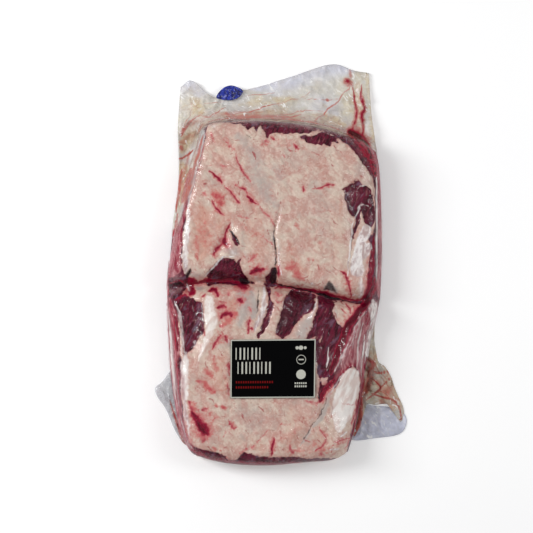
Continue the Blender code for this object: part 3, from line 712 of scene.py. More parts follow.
# Cut flanks, dark red and mauve under the film.
SIDE = [
    ([(-112, 150), (-100, 150), (-90, 125), (-96, 98), (-102, 75), (-107, 50), (-110, 20),
     (-111, -10), (-127, -14), (-123, 20), (-119, 60), (-117, 100)], 1),
    ([(-128, -40), (-119, -46), (-114, -62), (-112, -90), (-113, -110), (-111, -150), (-107, -185),
     (-100, -202), (-104, -211), (-114, -190), (-121, -150), (-126, -100)], 0.8),
    ([(92, 139), (99, 130), (104, 112), (106, 90), (107, 50), (108, 10), (106, -30), (113, -36),
     (115, 20), (114, 80), (111, 112), (108, 128), (100, 136)], 1),
    ([(92, -58), (100, -44), (108, -46), (102, -90), (93, -136), (84, -180), (78, -200),
     (84, -160), (88, -128), (80, -114), (72, -118), (64, -128), (66, -106), (72, -88), (82, -68)],
     1),
]
# Hollows and gaps that lie in the dark.
SHADE = [
    ([(52, -19), (46, -31), (54, -31), (62, -35), (57, -25)], 0.66),
    ([(12, -30), (28, -34), (36, -40), (34, -50), (24, -57), (12, -71), (0, -82), (-6, -77),
     (0, -56), (2, -42), (6, -36)], 0.5),
    ([(-124, -21), (-116, -23), (-111, -21)], 1.3, 1.3, 0.9),
    ([(-46, -18), (-37, -21)], 3.7, 3.3, 0.9),
    ([(-82, -16), (-74, -8), (-70, -14)], 2.6, 2.6, 0.55),
    ([(-26, -30), (-25, -44), (-27, -56)], 0.9, 1.2, 0.75),
    ([(38, -33), (50, -37), (68, -41)], 1.4, 1.5, 1),
    ([(-15, -21), (-3, -23), (17, -28), (38, -33)], 0.7, 0.9, 0.8),
    ([(68, -41), (90, -43)], 0.8, 0.9, 0.6), ([(-7, -6), (-8, -14), (-11, -22)], 3, 3.6, 1),
    ([(0, 91), (-1, 69), (-3, 56), (-5, 45), (-8, 36)], 0.5, 1, 0.45),
    ([(-8, 40), (-8, 28), (-6, 14), (-7, 2), (-9, -8)], 0.9, 0.9, 0.85),
    ([(50, -146), (46, -160), (39, -171), (32, -179), (28, -188), (21, -199)], 0.7, 0.6, 0.6),
    ([(-57, 36), (-53, 31), (-50, 25), (-47, 20)], 0.9, 1.4, 0.9),
    ([(80, 44), (77, 20), (75, 2)], 0.7, 0.7, 0.55),
    ([(76, 147), (86, 148), (92, 143), (92, 137)], 3.4, 3.8, 0.95),
    ([(-101, -8), (-104, -15)], 2.2, 2.6, 0.8), ([(71, 76), (76, 62), (80, 54)], 3.4, 2.6, 0.5),
    ([(-38, 141), (-33, 136)], 0.9, 0.8, 0.6), ([(-88, 114), (-90, 108)], 1, 1, 0.5),
    ([(-20, 69), (-15, 62), (-9, 55)], 0.5, 0.4, 0.55),
    ([(49, -148), (45, -160), (38, -172)], 0.7, 0.9, 0.5), ([(-98, -205), (-93, -208)], 2, 2, 0.6),
    ([(-85, -211), (-76, -214), (-66, -217)], 2, 2.2, 0.5),
    ([(-46, -215), (-36, -219)], 2.2, 2.2, 0.5),
    ([(-28, -217), (-7, -220), (20, -219)], 1.4, 1.8, 0.6),
    ([(30, -219), (52, -218)], 0.9, 0.8, 0.5),
]
MEAT_MARKS = {"blood": BLOOD, "blush": BLUSH, "rose": ROSE, "grey": GREY, "silver_and_glare": GRISTLE_AND_GLARE,
              "white": PAINTED_GLARE, "side": SIDE, "shade": SHADE}
AREA_EDGE = 2.2                # millimetres over which an area fades, each side of its outline
FAT_EDGE = 2.6
STREAK_SPREAD = 1.35           # a streak's bell reaches past its own half width
STREAK_TAPER = 0.62            # the share of its width that a streak loses at its ends
STREAK_REACH = 2.4             # how many half widths out from its route it is still drawn
STAIN_REACH = 2.6              # how many half widths the pink round a streak of blood reaches
STAIN_LIMIT = 0.9              # the most that such pink may show
THIN_FAT_COVER = 0.57          # how far thin fat hides the lean below it
# Random bends of what is painted: reach, size and seed, first coarse and then fine.
FAT_WANDER = [(0.0016, 0.010, 11), (0.0012, 0.0042, 13)]
MARKS_WANDER = [(0.0013, 0.008, 21), (0.0008, 0.0032, 23)]
FIBRE_COUNT = 560
FIBRE_AREA = ((-106, 100), (-212, 153))    # west to east, south to north
FIBRE_STRENGTH = (0.25, 0.85)
FIBRE_TURN = (-48, 32)         # degrees from east, and how much it varies
FIBRE_BEND = 0.18              # how far it bows, as a share of half its length
FIBRE_LENGTH = (3.0, 11.0)
FIBRE_HALF_WIDTH = (0.45, 0.95)
RELIEF_LOBES = 0.0014          # the fat's soft swells
RELIEF_FINE = 0.00042
RELIEF_WRINKLE = 0.0009
RELIEF_LEAN = 0.0015           # how far the lean lies below the fat
RELIEF_CUT = 0.0012            # depth of a cut
RELIEF_BLOOD = 0.6             # how much of that depth lies under a streak of blood
MEAT_BELOW_FILM = 0.0005
SEAM_GAP = 0.0003              # half the gap between the slabs, in plan
SEAM_ROUNDING = (0.0055, 0.0042)   # depth and half width of the slabs' rounded meeting edges
SLAB_COLUMNS, SLAB_ROWS = 290, 232
SLAB_CROWDING = (0.50, 0.35)
SIDE_RINGS = 11
BOTTOM_SHARES = [0.96, 0.86, 0.74, 0.60, 0.45, 0.30, 0.16, 0.04]
SLAB_UNDERSIDE = 0.0032
SIDE_FAT_LOW, SIDE_FAT_HIGH = (0.0165, 0.0013), (0.0275, 0.0012)   # height, half width
SIDE_TURN = 0.12               # metres of side that a full radian round a slab counts as
SIDE_DENT = 0.003              # how far the cut side draws in at half its height, as a share
SIDE_BLOOD = 0.35              # strength of the patches of blood on the cut side
LOWER_SKIN, LOWER_UNEVENNESS = 0.42, 0.0007    # silvery skin on the lower side, and its sag
SLAB_INSET = 0.991             # the slabs' plan, as a share of the film's about the origin
SLAB_BOTTOM_INSET = 0.983


def nearby(x, y, route, reach):
    """Which places lie in a route's own box, grown by `reach`."""
    low, high = route.min(axis=0) - reach, route.max(axis=0) + reach
    return (x > low[0]) & (x < high[0]) & (y > low[1]) & (y < high[1])


def area_mask(x, y, outline, edge=AREA_EDGE):
    """1 inside an outline and 0 outside, a half on it, over `edge` millimetres each way."""
    ring = dense_curve(outline, closed=True)[:-1:4]
    mask = np.zeros(x.shape)
    close = nearby(x, y, ring, edge * MM)
    mask[close] = ramp(depth_inside(x[close], y[close], ring), -edge * MM, edge * MM)
    return mask


def streak_mask(x, y, route, start, end):
    """A bell across a route, as wide as its two half widths in millimetres say, then pointed."""
    chain = dense_curve(route)[::4]
    mask = np.zeros(x.shape)
    start, end = start * STREAK_SPREAD * MM, end * STREAK_SPREAD * MM
    close = nearby(x, y, chain, STREAK_REACH * max(start, end))
    mask[close] = np.exp(-distance_to(x[close], y[close], chain, start, end, STREAK_TAPER) ** 2)
    return mask


def painted(x, y, marks):
    """The strongest of a list of streaks and areas at each place."""
    total = np.zeros(x.shape)
    for mark in marks:
        mask = streak_mask(x, y, *mark[:3]) if len(mark) == 4 else area_mask(x, y, mark[0])
        total = np.maximum(total, mark[-1] * mask)
    return total


def fibres(x, y):
    """Short red fibres in the fat: seeded strokes, most of them running down to the right."""
    draw = np.random.default_rng(7)
    total = np.zeros(x.shape)
    for _ in range(FIBRE_COUNT):
        middle = np.array([draw.uniform(*limits) for limits in FIBRE_AREA])
        turn = math.radians(draw.normal(*FIBRE_TURN))
        half = draw.uniform(*FIBRE_LENGTH) / 2.0
        bend = draw.normal(0.0, FIBRE_BEND) * half
        width = draw.uniform(*FIBRE_HALF_WIDTH)
        strength = draw.uniform(*FIBRE_STRENGTH)
        along = np.array([math.cos(turn), math.sin(turn)])
        across = np.array([-along[1], along[0]])
        route = [middle - half * along, middle + bend * across, middle + half * along]
        total = np.maximum(total, strength * streak_mask(x, y, route, width, 0.5 * width))
    return total


def wander(x, y, steps):
    """Places moved about by random fields, so that what is painted on them runs ragged."""
    for reach, size, seed in steps:
        east, north = (reach * rough_field(x, y, size, seed + k) for k in (0, 1))
        x, y = x + east, y + north
    return x, y


def fat_cover(x, y):
    """Above a half where fat lies on top, below it where lean does: caps, windows, islands."""
    u, v = wander(x, y, FAT_WANDER)
    caps, windows, islands = (
        np.max([area_mask(u, v, outline, FAT_EDGE) for outline in outlines], axis=0)
        for outlines in (FAT_CAPS, LEAN_WINDOWS, FAT_ISLANDS))
    thin = THIN_FAT_COVER * area_mask(u, v, THIN_FAT, FAT_EDGE)
    return np.maximum(np.maximum(np.minimum(caps, 1.0 - windows), islands), thin)


def meat_marks(x, y):
    """What shows on the slabs' upper faces, one value from 0 to 1 a place for each kind."""
    u, v = wander(x, y, MARKS_WANDER)
    marks = {key: painted(u, v, listed) for key, listed in MEAT_MARKS.items()}
    wide = [(mark[0], STAIN_REACH * mark[1], STAIN_REACH * mark[2], min(mark[3], STAIN_LIMIT))
            for mark in BLOOD if len(mark) == 4]
    marks["stain"] = painted(u, v, wide)
    marks["fat"] = fat_cover(x, y)
    marks["fibre"] = fibres(u, v)
    return marks


def soft_relief(x, y, fat):
    """How far the meat sinks under the film where the film sinks with it.

    Lobes, the soft wrinkles between them that run down to the right, and the sunken lean.
    """
    lobes = 0.5 + 0.5 * rough_field(x, y, 0.017, 31, layers=2)
    wrinkles = crumple(0.9 * x + 0.7 * y, 0.45 * y - 0.3 * x, 0.0085, 35)
    return (RELIEF_LOBES * lobes + RELIEF_WRINKLE * wrinkles
            + RELIEF_LEAN * (1.0 - ramp(fat, 0.2, 0.8)))


def slab_plan(south, north, west, east):
    """Plan places of a slab's upper face, closer together at its edges."""
    plan = patch(south, north, west, east, crowded(SLAB_COLUMNS - 1, SLAB_CROWDING[0]),
                 crowded(SLAB_ROWS - 1, SLAB_CROWDING[1]))
    return plan * SLAB_INSET


def wall_layers(around, height):
    """Fat seams in a slab's cut side: two wavy bands at their own heights, between lean."""
    wave = 0.0022 * random_field(around, 0.0, 0.021, 41)
    wave += 0.0008 * random_field(around, height, 0.006, 42)
    low = np.exp(-((height - SIDE_FAT_LOW[0] - wave) / SIDE_FAT_LOW[1]) ** 2)
    high = 0.9 * np.exp(-((height - SIDE_FAT_HIGH[0] + 0.7 * wave) / SIDE_FAT_HIGH[1]) ** 2)
    return np.maximum(low, high)


def build_slab(name, plan, material):
    """A slab: film form less relief on top, a slightly bulging cut side, a flat rib side."""
    x, y = plan[..., 0], plan[..., 1]
    marks = meat_marks(x, y)
    seam = distance_to(x, y, dense_curve(SEAM), SEAM_ROUNDING[1], SEAM_ROUNDING[1])
    fine = 0.5 + 0.5 * rough_field(x, y, 0.0040, 32, layers=2)
    grain = random_field(x * 2.2 + y * 0.6, y * 0.5 - x * 0.2, 0.0022, 33) * (1 - marks["fat"])
    sunk = (MEAT_BELOW_FILM + soft_relief(x, y, marks["fat"]) + RELIEF_FINE * (fine + grain)
            + RELIEF_CUT * np.maximum(marks["shade"], RELIEF_BLOOD * marks["blood"])
            + SEAM_ROUNDING[0] * np.exp(-seam ** 2))
    top = np.dstack([plan, pack_height(x, y)[0] - sunk])
    rim = top.reshape(-1, 3)[edge_loop(*x.shape)]
    middle = rim[:, :2].mean(axis=0)
    around = np.arctan2(rim[:, 1] - middle[1], rim[:, 0] - middle[0]) * SIDE_TURN
    rings = []
    for share in np.linspace(0.0, 1.0, SIDE_RINGS + 1)[1:]:
        z = rim[:, 2] * (1 - share) + SLAB_UNDERSIDE * share
        dent = SIDE_DENT * (1 + random_field(around, z, 0.007, 43)) * math.sin(math.pi * share)
        tuck = 1.0 - (1.0 - SLAB_BOTTOM_INSET) * share ** 0.4 - dent
        rings.append(np.column_stack([rim[:, :2] * tuck[:, None], z]))
    foot = rings[-1][:, :2]
    for share in BOTTOM_SHARES:
        below = middle + (foot - middle) * share
        sag = LOWER_UNEVENNESS * rough_field(below[:, 0], below[:, 1], 0.013, 44)
        rings.append(np.column_stack([below, SLAB_UNDERSIDE + sag]))
    points, faces = ringed_body(top, rings)
    values = {key: np.concatenate([mark.ravel(), np.zeros(len(points) - x.size)])
              for key, mark in marks.items()}
    wall = slice(x.size, x.size + SIDE_RINGS * len(rim))
    turns, heights = np.tile(around, SIDE_RINGS), points[wall, 2]
    values["fat"][wall] = wall_layers(turns, heights)
    values["blood"][wall] = SIDE_BLOOD * (random_field(turns, heights, 0.012, 45) > 0.35)
    values["silver_and_glare"][wall.stop:] = LOWER_SKIN
    values["under"] = (np.arange(len(points)) >= wall.stop).astype(float)
    return add_piece(name, points, faces, material, values)


def thin_lines():
    """Group: thin lines where a noise passes through its middle value, `Width` to each side."""
    tree = bpy.data.node_groups.new("thin_lines", "ShaderNodeTree")
    for name, way in (("Noise", "INPUT"), ("Width", "INPUT"), ("Mask", "OUTPUT")):
        tree.interface.new_socket(name, in_out=way, socket_type="NodeSocketFloat")
    given = tree.nodes.new("NodeGroupInput").outputs
    off = maths(tree, "ABSOLUTE", maths(tree, "SUBTRACT", given["Noise"], 0.5))
    out = tree.nodes.new("NodeGroupOutput")
    tree.links.new(span(tree, off, 0.0, given["Width"], 1.0, 0.0), out.inputs["Mask"])
    return tree


THIN_LINES = thin_lines()


def lines_of(look, noise, width):
    """The shared group's thin lines of a noise, as a mask."""
    return look.add("Group", {"Noise": noise, "Width": width}, node_tree=THIN_LINES).outputs[0]


def raw_rib_material():
    """Raw beef: lobed cream fat with rosy flushes and fibres, wet dark lean with a grain."""
    look = Look("raw_rib")
    rough = look.maths("SUBTRACT", look.noise(240.0, 4.0, 0.5), 0.5)
    fine = look.maths("SUBTRACT", look.noise(640.0, 3.0, 0.3), 0.5)

    def frayed(name, amount, *levels):
        """A painted mark broken up by both noises, then cut between pairs of levels."""
        value = look.attribute(name)
        if name == "fat":
            strips = look.span(look.noise(95.0, 3.0, 0.4, 8.0, 90.0), 0.40, 0.56)
            value = look.maths("MULTIPLY_ADD", look.attribute("under"), strips, value)
        value = look.maths("MULTIPLY_ADD", rough, amount, value)
        value = look.maths("MULTIPLY_ADD", fine, 0.4 * amount, value)
        return [look.span(value, low, high) for low, high in levels]

    # the fat: lobes, pink clouds, pale specks, cool patches and veins, then what is painted
    lobes = look.span(look.noise(55.0, 3.0, 0.9), 0.40, 0.60)
    fat = look.mix(lobes, (196, 158, 147), (208, 188, 173))
    clouds = look.span(look.noise(170.0, 4.0, 0.9, 2.4, -46.0), 0.46, 0.64)
    fat = look.lay(fat, clouds, 0.37, (182, 126, 114))
    specks = look.span(look.noise(300.0, 4.0, 0.8), 0.45, 0.68)
    fat = look.lay(fat, specks, 0.42, (234, 218, 204))
    cool = look.span(look.noise(38.0, 3.0, 0.3), 0.50, 0.68)
    fat = look.lay(fat, cool, 0.45, (186, 170, 160))
    veins = lines_of(look, look.noise(90.0, 4.0, 1.5), 0.035)
    veins = look.times(veins, look.span(look.noise(42.0, 2.0), 0.46, 0.64))
    fat = look.lay(fat, veins, 0.45, (174, 96, 90))
    rose, = frayed("rose", 0.70, (0.15, 1.00))
    fat = look.lay(fat, rose, 0.75, (198, 140, 122))
    grey, = frayed("grey", 0.60, (0.15, 0.95))
    fat = look.lay(fat, grey, 0.85, (174, 165, 160))
    fibre, = frayed("fibre", 0.60, (0.22, 0.80))
    fat = look.lay(fat, fibre, 0.85, (158, 68, 70))
    blush, strong = frayed("blush", 1.10, (0.20, 1.00), (0.75, 1.20))
    fat = look.mix(blush, fat, (190, 102, 98))
    fat = look.lay(fat, strong, 0.7, (168, 52, 66))
    # the lean: its grain, broad paler muscle, silvery skin, flecks of marbling, the cut flanks
    grain = look.span(look.noise(420.0, 4.0, 0.5, 5.0, 68.0), 0.36, 0.64)
    lean = look.mix(grain, (48, 0, 16), (100, 14, 42))
    broad = look.span(look.noise(75.0, 3.0, 0.5), 0.45, 0.66)
    lean = look.lay(lean, broad, 0.5, (112, 34, 58))
    skin = look.span(look.noise(130.0, 4.0, 1.0, 3.0, 56.0), 0.53, 0.68)
    lean = look.lay(lean, skin, 0.42, (128, 108, 130))
    flecks = look.span(look.noise(260.0, 4.0, 1.2, 3.2, 62.0), 0.58, 0.72, 0.0, 0.48)
    lean = look.mix(flecks, lean, (170, 110, 108))
    layers = look.span(look.noise(190.0, 4.0, 0.9, 3.4, 94.0), 0.42, 0.64)
    flank = look.mix(layers, (140, 24, 50), (200, 134, 138))
    side, = frayed("side", 0.60, (0.25, 0.75))
    lean = look.lay(lean, side, 0.85, flank)
    # fat over lean, pinker at its rim, then gristle, painted white glare, blood and painted shade
    # over both
    fat_mask, inner = frayed("fat", 0.95, (0.40, 0.62), (0.55, 1.00))
    rosy = look.times(look.maths("SUBTRACT", 1.0, inner), 0.32)
    stain, = frayed("stain", 1.60, (0.20, 1.05))
    fat = look.lay(fat, stain, 0.75, (190, 92, 94))
    meat = look.mix(fat_mask, lean, look.mix(rosy, fat, (186, 100, 100)))
    # gristle and silvery skin, and the glare painted with the same mark: white highlights where the
    # lamps glance off slopes
    silver_and_glare, = frayed("silver_and_glare", 0.90, (0.25, 0.95))
    gristle = look.span(look.noise(120.0, 3.0, 1.0, 2.5, 80.0), 0.36, 0.58)
    gristle = look.mix(gristle, (184, 162, 160), (236, 231, 230))
    cracks = lines_of(look, look.noise(150.0, 3.0, 1.4, 2.0, 72.0), 0.03)
    gristle = look.lay(gristle, cracks, 0.55, (150, 112, 122))
    meat = look.lay(meat, silver_and_glare, 0.90, gristle)
    # painted glare: whiter fat where the lamps glance off the film on its slopes
    white, = frayed("white", 0.50, (0.25, 0.85))
    glare_tone = look.span(look.noise(130.0, 3.0, 0.8, 3.0, 66.0), 0.36, 0.60)
    glare_tone = look.mix(glare_tone, (222, 204, 198), (244, 239, 235))
    meat = look.lay(meat, white, 0.90, glare_tone)
    halo, core, deep = frayed("blood", 0.85, (0.14, 0.62), (0.36, 0.86), (0.74, 1.30))
    halo = look.times(halo, look.times(fat_mask, 0.8))
    meat = look.mix(halo, meat, (194, 104, 106))
    meat = look.mix(core, meat, (146, 18, 50))
    meat = look.mix(deep, meat, (92, 0, 26))
    shade, = frayed("shade", 0.35, (0.25, 0.80))
    meat = look.mix(shade, meat, (36, 6, 16))
    normal = look.bump(look.maths("MULTIPLY_ADD", fine, 0.5, rough), 0.7, 0.0008)
    roughness = look.span(fat_mask, 0.0, 1.0, 0.34, 0.50)
    return look.done(look.principled(meat, roughness, {"Normal": normal,
                                                       "Specular IOR Level": 0.08}))


RIB_MEAT = raw_rib_material()
SEAM_LINE, SLAB_END_LINE = dense_curve(SEAM), dense_curve(SLAB_END)
upper_slab = build_slab("slab_upper", slab_plan(
    SEAM_LINE + (0.0, SEAM_GAP), SLAB_END_LINE, dense_curve(WEST_EDGE_UPPER),
    dense_curve(EAST_EDGE_UPPER)), RIB_MEAT)
lower_slab = build_slab("slab_lower", slab_plan(
    dense_curve(SOUTH_EDGE), SEAM_LINE - (0.0, SEAM_GAP), dense_curve(WEST_EDGE_LOWER),
    dense_curve(EAST_EDGE_LOWER)), RIB_MEAT)

# ------------------------------------------------------------------ the rib bones
# Four flat rib bones run through each slab on its lower side. Their sawn ends show a pale rim
# round red marrow, and their undersides stand a little proud under a thin skin.

RIB_WIDTH, RIB_THICKNESS = 0.033, 0.0125
RIB_LOWEST = 0.0014
RIB_SQUARENESS = 2.6
RIB_AROUND, RIB_ALONG = 40, 46
RIB_WAIST = 0.14               # the share of its width that a rib loses at its middle
RIB_BOW = 0.003
RIB_UNEVENNESS = 0.03
RIB_END_INSET = 0.0042         # how far a sawn end lies inside the film's edge in plan
# Where each rib starts and ends across the slab (millimetres), south to north.
UPPER_RIBS = [(-94, -76), (-41, -34), (14, 11), (72, 60)]
LOWER_RIBS = [(-79, -99), (-36, -46), (8, 12), (48, 74)]


def rib_points(start, end):
    """A flattened tube from start to end: superellipse rings, drawn in to close both ends."""
    caps = np.array([0.02, 0.45, 0.72, 0.90, 0.98])
    size = np.concatenate([caps, np.ones(RIB_ALONG), caps[::-1]])
    cut = np.concatenate([1.0 - 0.9 * caps ** 3, np.zeros(RIB_ALONG), 1.0 - 0.9 * caps[::-1] ** 3])
    t = np.concatenate([np.zeros(len(caps)), np.linspace(0, 1, RIB_ALONG), np.ones(len(caps))])
    turn = np.linspace(0.0, 2.0 * np.pi, RIB_AROUND, endpoint=False)
    c, s = np.cos(turn), np.sin(turn)
    ring_x = np.sign(c) * np.abs(c) ** (2.0 / RIB_SQUARENESS) * RIB_WIDTH / 2.0
    ring_z = np.sign(s) * np.abs(s) ** (2.0 / RIB_SQUARENESS) * RIB_THICKNESS / 2.0
    waist = 1.0 - RIB_WAIST * np.sin(np.pi * t)
    bow = RIB_BOW * np.sin(np.pi * t)
    x = (start[0] + (end[0] - start[0]) * t + bow)[:, None] + (size * waist)[:, None] * ring_x
    y = (start[1] + (end[1] - start[1]) * t)[:, None] + 0.0 * ring_x
    z = RIB_LOWEST + RIB_THICKNESS / 2.0 + (size * waist)[:, None] * ring_z
    wobble = 1.0 + RIB_UNEVENNESS * random_field(y, turn[None, :] * 0.01 + x * 0.3, 0.02, 61)
    z = RIB_LOWEST + (z - RIB_LOWEST) * wobble
    return np.dstack([x, y, z]), np.repeat(cut[:, None], RIB_AROUND, axis=1)


def tube_faces(rows, around, first):
    """Faces of a tube of rings, with its two tiny end rings filled."""
    number = first + np.arange(rows * around).reshape(rows, around)
    ahead = np.roll(number, -1, axis=1)
    faces = np.stack([number[:-1], number[1:], ahead[1:], ahead[:-1]], axis=-1).reshape(-1, 4)
    return [list(f) for f in faces] + [list(number[0]), list(number[-1, ::-1])]


def bone_material():
    """Sawn bone: cream rim, red spongy middle; elsewhere a pale skin with a pink cast."""
    look = Look("rib_bone")
    cut = look.attribute("cut")
    sponge = look.noise(900.0, 3.0, 0.2)
    marrow = look.mix(look.span(sponge, 0.35, 0.65), (112, 30, 36), (178, 112, 100))
    skin = look.mix(look.noise(160.0, longer=6.0, turn=90.0), (196, 160, 152), (222, 204, 194))
    colour = look.mix(look.span(cut, 0.04, 0.2), skin, (226, 208, 184))
    ragged = look.maths("SUBTRACT", look.noise(500.0, 4.0, 0.4), 0.5)
    ragged = look.span(look.maths("MULTIPLY_ADD", ragged, 0.3, cut), 0.42, 0.58)
    colour = look.mix(ragged, colour, marrow)
    return look.done(look.principled(colour, 0.42, {"Normal": look.bump(sponge, 0.4, 0.0005)}))


def line_y(line, x):
    """A line's y at a given x."""
    return float(np.interp(x, line[:, 0], line[:, 1]))


def build_ribs(name, ribs, south_at, north_at, material):
    """A slab's four ribs as one piece."""
    points, faces, cuts = [], [], []
    for south_x, north_x in ribs:
        start = (south_x * MM, south_at(south_x * MM))
        end = (north_x * MM, north_at(north_x * MM))
        ring_points, cut = rib_points(start, end)
        faces += tube_faces(*cut.shape, len(points) * cut.size)
        points.append(ring_points.reshape(-1, 3))
        cuts.append(cut.ravel())
    return add_piece(name, np.vstack(points), faces, material, {"cut": np.concatenate(cuts)})


BONE = bone_material()
SOUTH_LINE = dense_curve(SOUTH_EDGE)
upper_ribs = build_ribs("ribs_upper", UPPER_RIBS,
                        lambda x: line_y(SEAM_LINE, x) + RIB_END_INSET,
                        lambda x: line_y(SLAB_END_LINE, x) - RIB_END_INSET, BONE)
lower_ribs = build_ribs("ribs_lower", LOWER_RIBS,
                        lambda x: line_y(SOUTH_LINE, x) + RIB_END_INSET,
                        lambda x: line_y(SEAM_LINE, x) - RIB_END_INSET, BONE)

# ------------------------------------------------------------------ the shrink film
# One clear bag, drawn on to the meat and sealed. It is glossy and almost invisible on the
# slabs, milky where it is slack, and stained by juice in the tail and in its corners.

FILM_COLUMNS = 200
FILM_ROWS_LOWER, FILM_ROWS_UPPER, FILM_ROWS_TAIL = 132, 128, 56
FILM_CROWDING = (0.50, 0.30)
FILM_UNDERCUT = [(0.996, 0.72), (0.991, 0.48), (0.988, 0.28), (0.985, 0.10)]
FILM_UNDERSIDE = 0.0003
FILM_BOTTOM_SHARES = [0.985, 0.90, 0.75, 0.55, 0.32, 0.10]
TENSION_WRINKLE = 0.00022
PLEAT_HEIGHT = 0.0009
TAIL_CRUMPLE = (0.0030, 0.0014)
FILM_WANDER = [(0.0016, 0.012, 82), (0.0007, 0.0040, 84)]
EDGE_STILLNESS, EDGE_WIDTH = 0.75, 0.009   # the marks bend less along the meat's edge
TAIL_OUTSIDE = (-0.0085, -0.0040)  # metres outside the meat's outline where the tail's look starts
TAIL_BEYOND = (-0.011, -0.005)     # and metres north of the slab's end
TAIL_LATE, TAIL_LATE_EAST = 0.0055, (0.066, 0.084)   # it starts later in the north-east corner
FILM_HAZE = 0.02               # the milky share of film that lies tight on the meat
TAIL_HAZE, TAIL_HAZE_CHANGE = 0.66, 0.20   # the tail's milky share, and how much it varies
RELIEF_FOLLOWED = 0.7          # how much of the meat's soft relief the film sinks into
CUT_FOLLOWED = 0.4             # and of the depth of its cuts
WALL_FADE = [0.8, 0.5, 0.2, 0.0]   # what is left of the edge's marks down the undercut
TAIL_BRINK = 0.011             # how far from the slab's end the tail is drawn into brown lines
# Slack film down the upper slab's north-west side, in millimetres.
WEST_SLACK = [(-122, 152), (-93, 156), (-84, 141), (-88, 122), (-93, 100), (-99, 80), (-107, 62),
              (-119, 32), (-124, 60)]

# What shows on the film: route in millimetres, half width at its start and end, strength.
# Slack film that stands off the meat and looks milky; on the slabs' sides the same marks paint
# white glare where the lamps glance off the film.
HAZE_AND_GLARE = [
    ([(-119, 60), (-121, 44), (-121, 36)], 3, 2.4, 0.75),
    ([(-124, -6), (-119, -14), (-113, -18)], 4, 3.6, 0.36),
    ([(-104, -24), (-102, -32)], 1.6, 1.4, 0.72),
    ([(-126, -30), (-118, -32), (-110, -28)], 2.2, 2, 0.34),
    ([(-114, 74), (-117, 40), (-118, 10)], 1.3, 1.6, 0.6),
    ([(-104, 92), (-108, 72), (-111, 52), (-114, 30)], 1, 1, 0.4),
    ([(-111, 112), (-109, 124), (-106, 138)], 4.6, 5.5, 0.7),
    (WEST_SLACK, 0.7),
    ([(-116, -45), (-112, -63), (-109, -90), (-109, -104)], 1, 1.4, 0.6),
    ([(-127, -50), (-124, -79), (-122, -105), (-119, -134), (-114, -165)], 1.9, 2.9, 0.88),
    ([(-113, -168), (-106, -190), (-98, -206)], 3.2, 4, 0.5),
    ([(-110, -120), (-108, -150), (-104, -180)], 2, 2.2, 0.45),
    ([(96, -47), (107, -44), (105, -66), (102, -88), (99, -104), (92, -100), (94, -84), (98, -68)],
     0.86),
    ([(90, -66), (84, -92), (83, -114)], 1, 1.4, 0.8),
    ([(92, -80), (90, -104), (89, -126)], 1.3, 1.6, 0.8),
    ([(96, -70), (95, -92), (93, -112)], 1, 1, 0.7),
    ([(86, -60), (80, -76), (77, -96)], 0.7, 0.7, 0.6),
    ([(82, -74), (73, -96), (66, -112)], 0.7, 0.7, 0.55),
    ([(94, -52), (92, -66), (91, -88), (90, -112), (86, -118), (79, -110), (70, -114), (60, -128),
     (64, -108), (70, -92), (77, -78), (86, -62)], 0.3),
    ([(101, -41), (104, -46)], 2.4, 2.4, 0.8),
    ([(105.7, 98), (105.7, 30), (105, -28)], 1.3, 1.3, 0.85),
    ([(110, 92), (111, 40), (111, -20)], 2.2, 2.4, 0.26),
    ([(68, 143), (80, 134), (90, 122), (98, 108), (102, 97)], 3, 2.6, 0.3),
    ([(-58, 157), (-30, 158), (6, 156), (36, 150), (66, 142)], 3.6, 3.4, 0.4),
    ([(75, -91), (66, -107), (58, -120)], 1, 1.2, 0.4),
    ([(49, 165), (58, 166), (66, 158), (71, 154)], 1.6, 1.6, 0.95),
    ([(98, 217), (99, 188)], 4, 3, 0.9), ([(-51, 182), (-46, 181), (-42, 178)], 0.9, 0.9, 1),
    ([(-28, 179), (-24, 179)], 0.7, 0.7, 1),
]
# Clean film, a little blue.
CLEAN = [
    ([(-114, 206), (-101, 203), (-88, 193)], 10, 8, 1),
    ([(-34, 198), (10, 208), (48, 221), (80, 222)], 7, 9, 0.95),
    ([(40, 184), (64, 172)], 9, 7, 0.7), ([(-12, 200), (4, 190)], 9, 8, 0.6),
    ([(-60, 196), (-40, 190)], 5, 5, 0.4), ([(-118, 170), (-117, 186)], 3, 3, 0.5),
]
